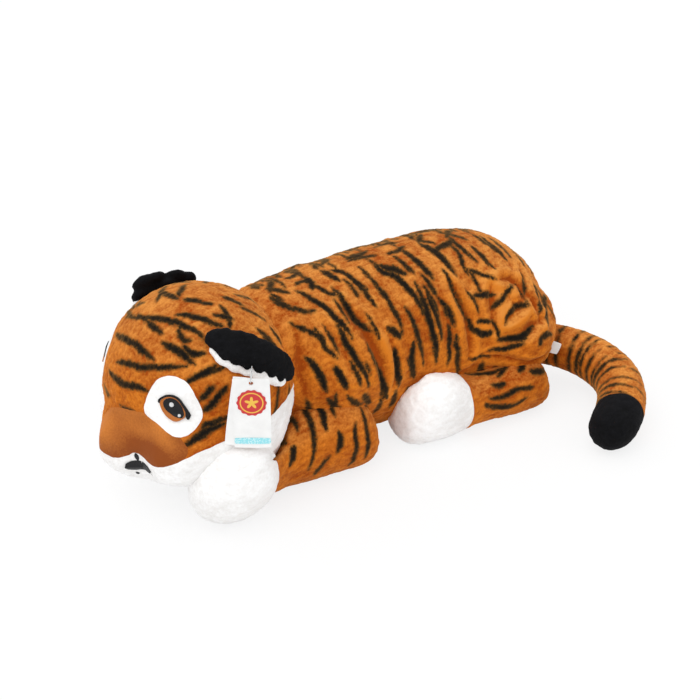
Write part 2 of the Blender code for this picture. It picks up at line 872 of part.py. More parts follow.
def make_mouth():
    """The small black mouth with its upright line, and one stitched dot on each side of the chin."""
    reach = HEAD_LENGTH + MUZZLE_LENGTH
    front = face_placement(MOUTH_DROP)
    shape = mirrored(scaled(MOUTH_SHARES, MOUTH_WIDTH, MOUTH_HEIGHT))
    mouth = stitched("mouth", "black_thread", prism("mouth_region", shape, reach, front))
    half = PHILTRUM_WIDTH / 2
    foot = MOUTH_HEIGHT * MOUTH_SHARES[0][1] + 2 * SEAM_GAP
    line = [(half, foot), (half, foot + PHILTRUM_LENGTH), (-half, foot + PHILTRUM_LENGTH), (-half, foot)]
    philtrum = stitched("philtrum", "black_thread", prism("philtrum_region", line, reach, front))
    pieces = [mouth, philtrum]
    chin = face_placement(WHISKER_DROP)
    for side, hand in SIDES:
        outline = oval(WHISKER_DOT, (-hand * WHISKER_SPREAD, 0))
        dot = prism(f"dot_region_{side}", outline, reach, chin)
        pieces.append(stitched(f"whisker_dot_{side}", "black_thread", dot))
    return pieces


def ear_placement(hand):
    """At an ear's seam: +X along it to the rear, +Y the way the ear folds, +Z out of the head."""
    out = direction_of(EAR_AZIMUTH, EAR_RISE, hand)
    rearward = Vector((math.sin(EAR_AZIMUTH), hand * math.cos(EAR_AZIMUTH), 0))
    base = Matrix.Rotation(-hand * EAR_SLOPES[hand], 3, out) @ rearward
    fold = out.cross(base) * hand
    seat = out * head_reach(out)
    turn = Matrix((base, fold, out)).transposed().to_4x4()
    return HEAD_FRAME @ Matrix.Translation(seat) @ turn


def ear_profile(length):
    """Where the ear's cloth is at a length from its seam: how far it has folded over and stands out."""
    if length <= 0:
        return length * math.sin(-EAR_LEAN), length * math.cos(EAR_LEAN)
    folded, out = 0.0, 0.0
    step = length / PROFILE_STEPS
    for i in range(PROFILE_STEPS):
        share = (i + 1 / 2) * step / EAR_HEIGHT
        angle = EAR_CURL * min(share / EAR_CURL_SHARE, 1) - EAR_LEAN
        folded += math.sin(angle) * step
        out += math.cos(angle) * step
    return folded, out


def ear_layer(name, hand, finish_name, extra, side_of_cloth):
    """One layer of an ear: a half disc that curls over; extra is how far it shows past the other."""
    bm = bmesh.new()
    rows = []
    height = EAR_HEIGHT + extra
    for i in range(EAR_ROWS + 1):
        share = EAR_TIP_SHARE * math.sin(math.pi / 2 * i / EAR_ROWS)
        half_width = (EAR_WIDTH / 2 + extra / 2) * math.sqrt(1 - share * share)
        length = share * (height + EAR_SEATED) - EAR_SEATED
        folded, out = ear_profile(length)
        row = []
        for k in range(EAR_COLUMNS + 1):
            x = half_width * (2 * k / EAR_COLUMNS - 1)
            row.append(bm.verts.new((x, folded, out)))
        rows.append(row)
    for low, high in zip(rows, rows[1:]):
        for k in range(EAR_COLUMNS):
            bm.faces.new((low[k], low[k + 1], high[k + 1], high[k]))
    bmesh.ops.recalc_face_normals(bm, faces=bm.faces)
    upward = sum(face.normal.z for face in bm.faces)
    if upward * hand < 0:
        bmesh.ops.reverse_faces(bm, faces=bm.faces)
    obj = object_of_bmesh(name, bm)
    obj.data.transform(ear_placement(hand))
    shell = obj.modifiers.new("cloth", "SOLIDIFY")
    shell.thickness = EAR_LAYER
    shell.offset = side_of_cloth
    boolean(obj, BODY_CLEAR)
    return finish(obj, finish_name)


def ear_pivot(hand):
    """The middle of an ear's seam, on the side that it folds away from."""
    return ear_placement(hand) @ Vector((0, -(EAR_LAYER + SEAM_GAP), 0))


def ear_point(hand, shares):
    """Between an ear's two layers, at shares of its half width and of its height."""
    across_share, up_share = shares
    half_width = EAR_WIDTH / 2 * math.sqrt(1 - up_share * up_share)
    folded, out = ear_profile(up_share * EAR_HEIGHT)
    return ear_placement(hand) @ Vector((across_share * half_width, folded, out))


def make_ear(side, hand, pierced_by=()):
    back = ear_layer(f"ear_back_{side}", hand, "black_fur", 0, 1)
    lining = ear_layer(f"ear_lining_{side}", hand, "white_fur", EAR_LINING_SHOW, -1)
    boolean(lining, clear_of(back, f"ear_clearance_{side}"))
    for ring in pierced_by:
        boolean(back, ring)
        boolean(lining, ring)
    pivot_at(back, ear_pivot(hand))
    hung_on(back, [lining])
    return back


def make_limb(name, end_name, forms, seam_point, outward, end_finish, body, pivot):
    """A striped sleeve with a paw or tip sewn to it at a seam, and one filling through both."""
    form, inside = forms
    reach = 2 * (max(form.dimensions) + CUT_OVERRUN)
    past = slab(f"{name}_past_seam", seam_point, outward, reach)
    before = slab(f"{name}_before_seam", seam_point + outward * SEAM_GAP, -outward, reach)
    sleeve = skin(name, form, "striped_fur", leave=[body, past])
    end = skin(end_name, form, end_finish, leave=[body, before])
    pivot_at(sleeve, pivot)
    hung_on(sleeve, [end, filling(f"{name}_filling", inside, leave=[body])])
    return sleeve


def leg_pivot(hand, start, height):
    """At the rear end of a leg's seam with the torso's side, from where the leg spreads outward."""
    return Vector((
        start.x,
        hand * (TORSO_WIDTH / 2 - LEG_PIVOT_INSET),
        height / 2,
    ))


def make_leg(name, hand, start, toe_out, size, shares, paw_length, body):
    side = "left" if hand == LEFT else "right"
    heading = heading_of(hand, toe_out)
    forms = [
        leg_form(f"{name}leg_{kind}_{side}", start, heading, hand, size, shares, inset)
        for kind, inset in (("form", 0.0), ("inside", FILLING_INSET))
    ]
    return make_limb(
        f"{name}leg_{side}",
        f"{name}paw_{side}",
        forms,
        start + heading * (size[0] - paw_length),
        heading,
        "white_fur",
        body,
        leg_pivot(hand, start, size[2]),
    )


def make_legs():
    legs = []
    fore_size = (FORELEG_LENGTH, FORELEG_WIDTH, FORELEG_HEIGHT)
    hind_size = (HINDLEG_LENGTH, HINDLEG_WIDTH, HINDLEG_HEIGHT)
    for _, hand in SIDES:
        legs.append(make_leg(
            "fore", hand, foreleg_start(hand), FORELEG_TOE_OUT, fore_size,
            FORELEG_SHARES, FOREPAW_LENGTH, SHOULDER_CLEAR,
        ))
        legs.append(make_leg(
            "hind", hand, hindleg_start(hand), HINDLEG_TOE_OUT, hind_size,
            HINDLEG_SHARES, HINDPAW_LENGTH, TORSO_CLEAR,
        ))
    return legs


def make_tail():
    seam = TAIL_LENGTH - TAIL_TIP_LENGTH
    before, at = tail_point(seam - TAIL_TIP_LENGTH / 2, 0), tail_point(seam, 0)
    forms = [tail_form("tail_form"), tail_form("tail_inside", FILLING_INSET)]
    outward = (at - before).normalized()
    return make_limb("tail", "tail_tip", forms, at, outward, "black_fur", TORSO_CLEAR, TAIL_PIVOT)


def rounded_plate(name, finish_name, points, depth, placement):
    return finish(plate(name, points, depth, placement), finish_name)


def rectangle(width, low, high):
    """The corners of a card, with each corner doubled so that the outline stays straight."""
    half = width / 2
    round_by = CARD
    return [
        (half - round_by, low),
        (half, low + round_by),
        (half, high - round_by),
        (half - round_by, high),
        (round_by - half, high),
        (-half, high - round_by),
        (-half, low + round_by),
        (round_by - half, low),
    ]


def card_leaf(name, placement):
    """One leaf of the tag, hung from the hole at the placement's origin, with +Z out of its face."""
    top = TAG_HOLE_DROP
    leaf = rounded_plate(name, "card", rectangle(TAG_WIDTH, top - TAG_HEIGHT, top), CARD, placement)
    through = placement @ Matrix.Translation(-AXIS_Z * TAG_HOLE)
    boolean(leaf, prism(f"{name}_hole", oval(2 * TAG_HOLE), 2 * TAG_HOLE + CARD, through))
    return leaf


def make_tag():
    """The card tag: two leaves on a clear loop, the front one with a red seal and a blue band."""
    facing = direction_of(TAG_FACING, 0, LEFT)
    front_face = looking_out(facing, TAG_POINT)
    front = card_leaf("swing_tag_front", front_face)
    behind = Matrix.Translation(-AXIS_Z * (CARD + SEAM_GAP)) @ Matrix.Rotation(-TAG_FAN, 4, "Z")
    back = card_leaf("swing_tag_back", front_face @ behind)
    print_face = front_face @ Matrix.Translation(AXIS_Z * (CARD + SEAM_GAP))
    scallops = [
        Vector((math.cos(turn), math.sin(turn))) * (SEAL_WIDTH / 2 * share)
        for turn, share in (
            (math.pi * i / SEAL_SCALLOPS, SEAL_SCALLOP_SHARE if i % 2 else 1)
            for i in range(2 * SEAL_SCALLOPS)
        )
    ]
    centre = Vector((0, -SEAL_DROP))
    seal = rounded_plate(
        "tag_seal",
        "red_print",
        [tuple(point + centre) for point in scallops],
        PRINT_THICKNESS,
        print_face,
    )
    low = TAG_HOLE_DROP - TAG_HEIGHT + BAND_RISE
    band = rounded_plate(
        "tag_band",
        "blue_print",
        rectangle(TAG_WIDTH - 2 * CARD, low, low + BAND_HEIGHT),
        PRINT_THICKNESS,
        print_face,
    )
    pivot_at(front, TAG_POINT)
    hung_on(front, [back, seal, band])
    return front


def loop_ring(name, wire, collection=None):
    """An oval ring of wire that stands upright and points along the tag's facing."""
    bm = bmesh.new()
    facing = direction_of(TAG_FACING, 0, LEFT)
    across = facing.cross(AXIS_Z)
    half_length, half_height = LOOP_LENGTH / 2, LOOP_HEIGHT / 2
    rings = []
    for i in range(LOOP_SEGMENTS):
        turn = 2 * math.pi * i / LOOP_SEGMENTS
        level, rise = math.cos(turn), math.sin(turn)
        middle = LOOP_CENTRE + facing * (half_length * level) + AXIS_Z * (half_height * rise)
        away = (facing * (level * half_height) + AXIS_Z * (rise * half_length)).normalized()
        rings.append([
            bm.verts.new(
                middle
                + away * (wire * math.cos(2 * math.pi * k / LOOP_SIDES))
                + across * (wire * math.sin(2 * math.pi * k / LOOP_SIDES))
            )
            for k in range(LOOP_SIDES)
        ])
    for i, ring in enumerate(rings):
        other = rings[(i + 1) % LOOP_SEGMENTS]
        for k in range(LOOP_SIDES):
            m = (k + 1) % LOOP_SIDES
            bm.faces.new((ring[k], ring[m], other[m], other[k]))
    bmesh.ops.recalc_face_normals(bm, faces=bm.faces)
    return object_of_bmesh(name, bm, collection)


def tag_point():
    """Where the loop's lower wire passes through the front leaf."""
    half_length, half_height = LOOP_LENGTH / 2, LOOP_HEIGHT / 2
    ahead = half_length - LOOP_AHEAD
    drop = half_height * math.sqrt(1 - (ahead / half_length) ** 2)
    return LOOP_CENTRE + direction_of(TAG_FACING, 0, LEFT) * ahead - AXIS_Z * drop


def make_label():
    """A blank folded ribbon, caught in the seam behind the left haunch."""
    along_share, side_share, up_share = LABEL_SHARES
    root = Vector((
        NECK_X + along_share * TORSO_LENGTH,
        -side_share * TORSO_WIDTH,
        up_share * TORSO_HEIGHT,
    ))
    across = direction_of(TAG_FACING, 0, LEFT)
    placement = looking_out(across, root) @ Matrix.Rotation(LABEL_TURN, 4, "Z")
    half = LABEL_WIDTH / 2
    shape = [(x, y) for y, x in rectangle(2 * half, 0, LABEL_LENGTH)]
    label = rounded_plate("sewn_label", "satin_ribbon", shape, LABEL_THICKNESS, placement)
    boolean(label, TORSO_CLEAR)
    return label


TORSO = torso_form("torso_form")
TORSO_CLEAR = clear_of(TORSO, "torso_clearance")
HEAD = head_form("head_form")
HEAD_CLEAR = clear_of(HEAD, "head_clearance")
BODY_CLEAR = united("body_clearance", TORSO_CLEAR, HEAD_CLEAR)
CHIN_CLEAR = clear_of(HEAD, "chin_clearance", CHIN_REST_GAP)
SHOULDER_CLEAR = united("shoulder_clearance", TORSO_CLEAR, CHIN_CLEAR)
NECK_PIVOT = Vector((NECK_X + NECK_PIVOT_BACK, 0, NECK_PIVOT_HEIGHT))
TAIL_PIVOT = Vector((RUMP_X - TAIL_PIVOT_INSET, -TAIL_PIVOT_OFFSET, TAIL_PIVOT_HEIGHT))
LOOP_SEATED = ear_point(LEFT, TAG_EAR_SHARES) - direction_of(TAG_FACING, 0, LEFT) * LOOP_SEAT
LOOP_CENTRE = LOOP_SEATED + direction_of(TAG_FACING, 0, LEFT) * (LOOP_LENGTH / 2)
LOOP_HOLE = helper(loop_ring("loop_hole", LOOP_WIRE + SEAM_GAP, CUTTERS))
TAG_POINT = tag_point()

TORSO_BODY = make_torso()
HEAD_BODY = make_head()
for eye_side, eye_hand in SIDES:
    hung_on(HEAD_BODY, make_eye(eye_side, eye_hand))
hung_on(HEAD_BODY, make_mouth())
LEFT_EAR = make_ear("left", LEFT, pierced_by=[LOOP_HOLE])
RIGHT_EAR = make_ear("right", RIGHT)
hung_on(HEAD_BODY, [LEFT_EAR, RIGHT_EAR])
TAG_LOOP = finish(loop_ring("tag_loop", LOOP_WIRE), "clear_plastic")
hung_on(LEFT_EAR, [TAG_LOOP, make_tag()])
hung_on(TORSO_BODY, [HEAD_BODY, *make_legs(), make_tail(), make_label()])
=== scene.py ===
"""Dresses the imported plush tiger: fur, face, ears, tag, label, floor, lamps and camera."""

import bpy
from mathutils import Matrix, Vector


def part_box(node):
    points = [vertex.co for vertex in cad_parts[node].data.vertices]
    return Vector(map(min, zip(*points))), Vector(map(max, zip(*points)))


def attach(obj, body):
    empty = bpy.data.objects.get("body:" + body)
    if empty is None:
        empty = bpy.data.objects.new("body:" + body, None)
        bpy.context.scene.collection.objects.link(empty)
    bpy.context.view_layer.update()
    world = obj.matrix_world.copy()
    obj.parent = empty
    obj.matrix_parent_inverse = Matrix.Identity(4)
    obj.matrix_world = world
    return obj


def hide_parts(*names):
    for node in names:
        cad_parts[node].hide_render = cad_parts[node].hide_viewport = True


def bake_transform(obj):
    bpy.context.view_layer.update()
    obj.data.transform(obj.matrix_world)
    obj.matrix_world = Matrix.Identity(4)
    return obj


bl_info = {
    "name": "Plush Tiger",
    "version": (1, 0, 0),
    "blender": (4, 5, 0),
    "location": "3D View > Sidebar > Plush Tiger",
    "description": "Sews the fur and the face of a lying plush tiger over its packed parts",
    "category": "Mesh",
}

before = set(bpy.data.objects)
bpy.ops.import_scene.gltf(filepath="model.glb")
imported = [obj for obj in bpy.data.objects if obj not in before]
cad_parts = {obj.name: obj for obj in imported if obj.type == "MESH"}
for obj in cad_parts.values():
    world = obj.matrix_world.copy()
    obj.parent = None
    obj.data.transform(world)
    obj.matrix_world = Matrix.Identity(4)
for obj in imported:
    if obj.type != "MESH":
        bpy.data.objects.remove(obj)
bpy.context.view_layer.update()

import math
import random

import bmesh
import bpy
import numpy as np
from bpy.props import FloatProperty, FloatVectorProperty, PointerProperty
from mathutils import Matrix, Vector, noise
from mathutils.bvhtree import BVHTree
from mathutils.kdtree import KDTree

LEFT = -1
RIGHT = 1
SIDES = (("left", LEFT), ("right", RIGHT))
# How finely the head, legs and tail are first cut, and how often they are smoothed
LIMB_VOXEL = 0.0045
LIMB_SMOOTHING = 10
AXIS_X = Vector((1, 0, 0))
AXIS_Z = Vector((0, 0, 1))

TORSO_LOW, TORSO_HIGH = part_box("torso_skin")
HEAD_CENTRE = Vector((-0.2405, 0, 0.153))
TAIL_HUB = Vector((0.2314, -0.1549, 0.033))
TAIL_ARC = 0.120
SEAM_REACH = 0.006
TAG_TURN = 54
CAMERA_AIM = Vector((0.022, 0.0226, 0.099))
SENSOR_WIDTH = 36.0

# Stripes of the back and flank: share of the way from neck to rump, degrees down from the spine
FLANK_STRIPES = (
    ((0.12, 7), (0.13, 16), (0.15, 24)),
    ((0.13, -3), (0.15, 4), (0.17, 11)),
    ((0.12, 30), (0.15, 38), (0.18, 46), (0.19, 55), (0.21, 63)),
    ((0.13, 54), (0.15, 64), (0.16, 75), (0.17, 85)),
    ((0.15, 21), (0.17, 26), (0.20, 29)),
    ((0.19, 11), (0.21, 20), (0.23, 29), (0.25, 42), (0.27, 54)),
    ((0.20, 67), (0.21, 76), (0.22, 86)),
    ((0.20, 6), (0.22, 4), (0.24, 8)),
    ((0.23, -14), (0.24, -8), (0.24, 0)),
    ((0.24, 42), (0.25, 57), (0.27, 72), (0.29, 90)),
    ((0.24, 11), (0.26, 20), (0.28, 24)),
    ((0.28, 17), (0.29, 31), (0.30, 43), (0.33, 53)),
    ((0.29, 1), (0.30, 8), (0.31, 15)),
    ((0.31, 4), (0.34, 9), (0.35, 18), (0.37, 27)),
    ((0.31, 60), (0.32, 75), (0.34, 92), (0.36, 108)),
    ((0.34, 10), (0.35, 21), (0.36, 30), (0.37, 40)),
    ((0.38, 1), (0.42, 2), (0.46, 4)),
    ((0.39, 15), (0.40, 24), (0.41, 35), (0.42, 50), (0.42, 64)),
    ((0.38, 54), (0.40, 60), (0.41, 65)),
    ((0.39, 70), (0.39, 84), (0.40, 103)),
    ((0.43, 10), (0.44, 19), (0.47, 27), (0.49, 42), (0.50, 55)),
    ((0.44, 14), (0.47, 19), (0.50, 26)),
    ((0.45, 46), (0.46, 57), (0.47, 72), (0.48, 92)),
    ((0.45, 71), (0.44, 84), (0.45, 102)),
    ((0.49, -6), (0.53, -6), (0.56, -3)),
    ((0.50, 10), (0.51, 19), (0.52, 28)),
    ((0.51, 33), (0.51, 47), (0.51, 62), (0.52, 78), (0.52, 95)),
    ((0.54, 7), (0.55, 16), (0.56, 25), (0.57, 35)),
    ((0.53, 43), (0.53, 53), (0.54, 65), (0.54, 77)),
    ((0.54, 28), (0.55, 37), (0.56, 48)),
    ((0.57, 68), (0.57, 81), (0.56, 100)),
    ((0.56, 47), (0.58, 57), (0.59, 71)),
    ((0.59, 77), (0.59, 88), (0.60, 100)),
    ((0.61, 3), (0.62, 11), (0.63, 21), (0.64, 38)),
    ((0.61, -3), (0.63, 2), (0.65, 9)),
    ((0.61, 39), (0.61, 49), (0.62, 59), (0.63, 69)),
    ((0.63, -14), (0.67, -12), (0.71, -9)),
    ((0.68, 8), (0.69, 20), (0.68, 31), (0.68, 40)),
    ((0.71, 4), (0.71, 16), (0.72, 28)),
    ((0.70, -4), (0.73, 3), (0.76, 10)),
    ((0.68, 35), (0.72, 41), (0.76, 49)),
    ((0.75, 17), (0.76, 27), (0.76, 38)),
    ((0.67, 54), (0.71, 56), (0.74, 59)),
    ((0.66, 73), (0.68, 74), (0.71, 77)),
    ((0.64, 76), (0.67, 83), (0.70, 84)),
    ((0.72, 68), (0.76, 62), (0.81, 56)),
    ((0.74, 80), (0.78, 72), (0.83, 73)),
    ((0.71, 89), (0.76, 91), (0.79, 90), (0.83, 87)),
    ((0.69, 96), (0.74, 95), (0.78, 93)),
    ((0.63, 100), (0.67, 100), (0.70, 103)),
    ((0.80, 2), (0.81, 15), (0.83, 29)),
    ((0.82, 6), (0.83, 21), (0.84, 35)),
    ((0.85, 8), (0.86, 22), (0.87, 33)),
    ((0.88, 44), (0.86, 56), (0.84, 66)),
    ((0.91, 62), (0.90, 73), (0.86, 82)),
    ((0.95, 78), (0.91, 83), (0.88, 90)),
    ((0.82, 96), (0.85, 93), (0.89, 96)),
    ((0.91, 10), (0.92, 26), (0.92, 42)),
    ((0.95, 15), (0.96, 35), (0.95, 55)),
    ((0.12, 88), (0.13, 99), (0.15, 110)),
    ((0.17, 90), (0.19, 98), (0.22, 106)),
    ((0.22, 90), (0.25, 99), (0.28, 105)),
    ((0.27, 94), (0.29, 101), (0.31, 109)),
)
# Folds that the stuffing pulls into the flank: depth share, width share, then the fold in the same measure
FLANK_FOLDS = (
    (0.60, 1.00, ((0.28, 26), (0.29, 38), (0.31, 52), (0.33, 75), (0.34, 108))),
    (0.55, 0.60, ((0.31, 52), (0.33, 61), (0.34, 71), (0.35, 86), (0.36, 105))),
    (0.50, 0.60, ((0.38, 56), (0.385, 75), (0.385, 91), (0.37, 106))),
    (0.35, 0.90, ((0.20, 33), (0.22, 49), (0.24, 65), (0.24, 82))),
    (0.45, 0.90, ((0.13, 30), (0.12, 47), (0.11, 64), (0.12, 90))),
    (0.22, 1.20, ((0.47, 50), (0.49, 70), (0.49, 96))),
    (0.22, 1.20, ((0.56, 45), (0.57, 66), (0.57, 92))),
    (0.80, 0.85, ((0.61, 37), (0.62, 52), (0.635, 67), (0.635, 82), (0.63, 101))),
    (0.60, 0.75, ((0.75, 47), (0.72, 65), (0.71, 85))),
    (0.70, 0.80, ((0.76, 50), (0.80, 50), (0.83, 58), (0.82, 68), (0.78, 76), (0.74, 80))),
    (0.60, 0.85, ((0.89, 41), (0.87, 54), (0.85, 65), (0.86, 76), (0.86, 88))),
    (0.45, 0.60, ((0.78, 62), (0.79, 70), (0.81, 75))),
    (0.40, 0.60, ((0.67, 57), (0.67, 71), (0.67, 83))),
    (0.50, 0.80, ((0.72, 91), (0.77, 89), (0.83, 86), (0.90, 86))),
    (0.60, 0.60, ((0.66, 100), (0.72, 103), (0.80, 107), (0.88, 106), (0.95, 100))),
)
# Stripes of the head: degrees round from straight forward, then degrees up. These cross the brow.
BROW_STRIPES = (
    ((-41, 45), (-13, 57), (10, 63), (35, 63), (56, 59), (70, 51)),
    ((-30, 36), (-17, 40), (0, 43), (14, 42), (26, 40)),
    ((-7, 28), (5, 32), (16, 33), (30, 36), (52, 39)),
    ((-13, 20), (-4, 19), (6, 20), (18, 22), (28, 22)),
    ((-65, 65), (-32, 76), (0, 79)),
)
# These lie on each side, mirrored.
CHEEK_STRIPES = (
    ((-2, 58), (11, 57), (26, 55)),
    ((27, 68), (50, 69), (73, 65), (90, 58)),
    ((12, 81), (64, 81), (101, 75)),
    ((28, 50), (39, 48), (48, 45), (57, 40)),
    ((47, 50), (55, 46), (65, 45)),
    ((50, 29), (58, 33), (65, 35), (73, 38)),
    ((59, 32), (68, 35), (79, 37)),
    ((59, 19), (64, 23), (69, 27)),
    ((61, 13), (69, 19), (77, 26)),
    ((59, 3), (65, 6), (76, 8)),
    ((49, -4), (57, -1), (66, 3), (73, 5)),
    ((6, 6), (14, 6), (19, 6)),
    ((40, 60), (46, 54), (54, 53)),
    ((110, 72), (102, 64), (95, 56)),
    ((86, 68), (97, 64), (105, 60)),
    ((141, 74), (139, 68), (139, 62)),
    ((132, 63), (135, 57), (141, 46)),
    ((138, 42), (137, 36), (136, 28)),
    ((160, 66), (165, 58), (168, 48)),
    ((175, 50), (172, 40), (170, 28)),
    ((120, 48), (124, 38), (126, 24)),
    ((112, 14), (108, 4), (102, -6)),
    ((88, 12), (92, 2), (92, -10)),
    ((124, 8), (120, -4), (114, -14)),
    ((150, 30), (148, 16), (144, 2)),
)
# Share of the way along the leg, degrees from its top toward its outer side
FORELEG_STRIPES = (
    ((0.10, 20), (0.11, 40), (0.12, 86), (0.13, 112)),
    ((0.17, -60), (0.18, -20), (0.18, 15)),
    ((0.17, 40), (0.19, 58), (0.20, 96), (0.22, 120)),
    ((0.24, -30), (0.25, 0), (0.27, 24)),
    ((0.28, 42), (0.28, 60), (0.31, 76)),
    ((0.31, -20), (0.32, 10), (0.34, 36)),
    ((0.35, 76), (0.40, 98), (0.42, 116)),
    ((0.37, -70), (0.38, -40), (0.38, -5), (0.41, 35), (0.46, 92)),
    ((0.47, -30), (0.46, 0), (0.48, 22)),
    ((0.52, 40), (0.55, 52), (0.58, 66)),
    ((0.55, -20), (0.54, 10), (0.55, 30)),
)
HINDLEG_STRIPES = (
    ((0.58, -10), (0.50, 6), (0.42, 20), (0.33, 27)),
    ((0.42, 38), (0.38, 32), (0.34, 24)),
    ((0.52, 74), (0.44, 82), (0.34, 76), (0.23, 82)),
    ((0.56, 84), (0.48, 100), (0.38, 106), (0.29, 96)),
    ((0.24, 52), (0.17, 60), (0.09, 62)),
    ((0.20, 10), (0.16, 24), (0.12, 40)),
    ((0.48, 48), (0.44, 56), (0.40, 58)),
    ((0.30, 48), (0.26, 40), (0.24, 30)),
)


def srgb(red, green, blue):
    """A colour as a picture editor shows it, from 0 to 255, as a screen colour from 0 to 1."""
    return tuple(value / 255 for value in (red, green, blue))


def linear(colour):
    """The light that a screen colour stands for, as shader sockets take it."""
    return tuple(c / 12.92 if c <= 0.04045 else ((c + 0.055) / 1.055) ** 2.4 for c in colour) + (1.0,)


def colour_property(name, description, default):
    return FloatVectorProperty(
        name=name, description=description, default=default, subtype="COLOR_GAMMA", size=3, min=0, max=1
    )


def length_property(name, description, default):
    return FloatProperty(
        name=name, description=description, default=default, unit="LENGTH", subtype="DISTANCE", precision=4
    )


class TigerCoatSettings(bpy.types.PropertyGroup):
    """Sizes and colours of the plush"""

    orange: colour_property("Orange", "Tips of the orange pile", srgb(214, 122, 32))
    # Darker orange, mixed in at random and as painted shade in the pile's clump hollows and fold valleys.
    orange_shade_and_tone: colour_property("Rust", "Roots of the orange pile", srgb(156, 68, 8))
    # Painted highlight: the pale colour that upward faces take in the fur's colour; also the tint of the
    # sheen at grazing edges.
    highlight_and_sheen: colour_property(
        "Halo", "Orange pile combed open on top, and its edge against the light", srgb(230, 170, 94)
    )
    stripe: colour_property("Stripe", "Core of each stripe", srgb(13, 12, 10))
    stripe_edge: colour_property(
        "Stripe edge", "Edge of each stripe, where the dye thins out", srgb(66, 46, 18)
    )
    white: colour_property("White", "Tips of the white pile", srgb(255, 255, 255))
    # Darker white, mixed in at random and as painted shade in the pile's clump hollows.
    white_shade_and_tone: colour_property("White roots", "Roots of the white pile", srgb(238, 236, 234))
    black: colour_property("Black", "Black pile of the ears and the tail's tip", srgb(17, 17, 20))
    muzzle: colour_property("Muzzle", "Short brown pile of the muzzle", srgb(198, 118, 48))
    # Darker brown: painted shade in the muzzle's brushed sweeps, with random tone.
    muzzle_shade_and_tone: colour_property("Muzzle roots", "Darker sweeps of the muzzle's pile", srgb(140, 70, 22))
    pile: length_property("Pile", "How far the pile stands out of the cloth", 0.0018)
    clump: length_property("Clump", "Width of a clump of pile", 0.0062)
    lump: length_property("Lump", "How far the stuffing swells unevenly", 0.0022)
    stripe_width: length_property("Stripe width", "Width of a stripe at its middle", 0.0088)
    fold_depth: length_property("Fold depth", "Depth of a fold in the flank", 0.0095)
    fold_width: length_property("Fold width", "Half the width of a fold in the flank", 0.0125)
    voxel: length_property("Voxel", "How finely the stuffed forms are first cut", 0.0050)


class TigerStageSettings(bpy.types.PropertyGroup):
    """Camera, lamps and floor"""

    azimuth: FloatProperty(
        name="Azimuth", description="Camera's turn to the left", default=math.radians(36), unit="ROTATION"
    )
    elevation: FloatProperty(
        name="Elevation", description="Camera's rise", default=math.radians(30), unit="ROTATION"
    )
    distance: length_property("Distance", "From the camera to the tiger's middle", 2.4)
    lens: FloatProperty(name="Lens", description="Focal length in millimetres", default=86.4)
    world_light: FloatProperty(name="World light", description="Even light from all round", default=0.55)
    key_light: FloatProperty(name="Key light", description="Soft lamp from the front left", default=1.10)
    top_light: FloatProperty(name="Top light", description="Soft lamp from above and behind", default=0.85)
    fill_light: FloatProperty(name="Fill light", description="Soft lamp from the front right", default=0.45)


def add(tree, kind, inputs=(), **settings):
    """A shader node with its settings and inputs; an input is a value or another node's output."""
    made = tree.nodes.new("ShaderNode" + kind)
    for name, value in settings.items():
        setattr(made, name, value)
    for name, value in dict(inputs).items():
        socket = made.inputs[name]
        if isinstance(value, bpy.types.NodeSocket):
            tree.links.new(value, socket)
        else:
            socket.default_value = value
    return made


def blended(tree, share, first, second, how="MIX"):
    made = add(tree, "Mix", data_type="RGBA", blend_type=how)
    for socket, value in ((made.inputs[0], share), (made.inputs[6], first), (made.inputs[7], second)):
        if isinstance(value, bpy.types.NodeSocket):
            tree.links.new(value, socket)
        else:
            socket.default_value = value
    return made.outputs[2]


def maths(tree, how, first, second=0.0, clamp=False):
    return add(tree, "Math", {0: first, 1: second}, operation=how, use_clamp=clamp).outputs[0]


def spread(tree, value, low, high, to_low=0.0, to_high=1.0):
    """The value, moved from one range to another and held inside it."""
    return add(
        tree,
        "MapRange",
        {"Value": value, "From Min": low, "From Max": high, "To Min": to_low, "To Max": to_high},
        clamp=True,
    ).outputs[0]


def grain(tree, scale, detail=2.0, stretch=None):
    """Noise that is fixed to the piece; scale is how many grains there are to a metre."""
    place = add(tree, "TexCoord").outputs["Object"]
    if stretch:
        place = add(tree, "Mapping", {"Vector": place, "Scale": stretch}).outputs[0]
    return add(tree, "TexNoise", {"Vector": place, "Scale": scale, "Detail": detail}).outputs["Fac"]


def new_finish(name):
    material = bpy.data.materials.new(name)
    material.use_nodes = True
    tree = material.node_tree
    tree.nodes.clear()
    return material, tree


def surface(tree, colour, roughness, bumps=(), **sockets):
    """The shader itself; each bump is a height, its reach in metres and its strength."""
    shader = add(tree, "BsdfPrincipled", {"Base Color": colour, "Roughness": roughness})
    for name, value in sockets.items():
        shader.inputs[name.replace("_", " ")].default_value = value
    normal = None
    for height, reach, strength in bumps:
        inputs = {"Height": height, "Distance": reach, "Strength": strength}
        if normal:
            inputs["Normal"] = normal
        normal = add(tree, "Bump", inputs).outputs[0]
    if normal:
        tree.links.new(normal, shader.inputs["Normal"])
    output = add(tree, "OutputMaterial")
    tree.links.new(shader.outputs[0], output.inputs["Surface"])
    return shader


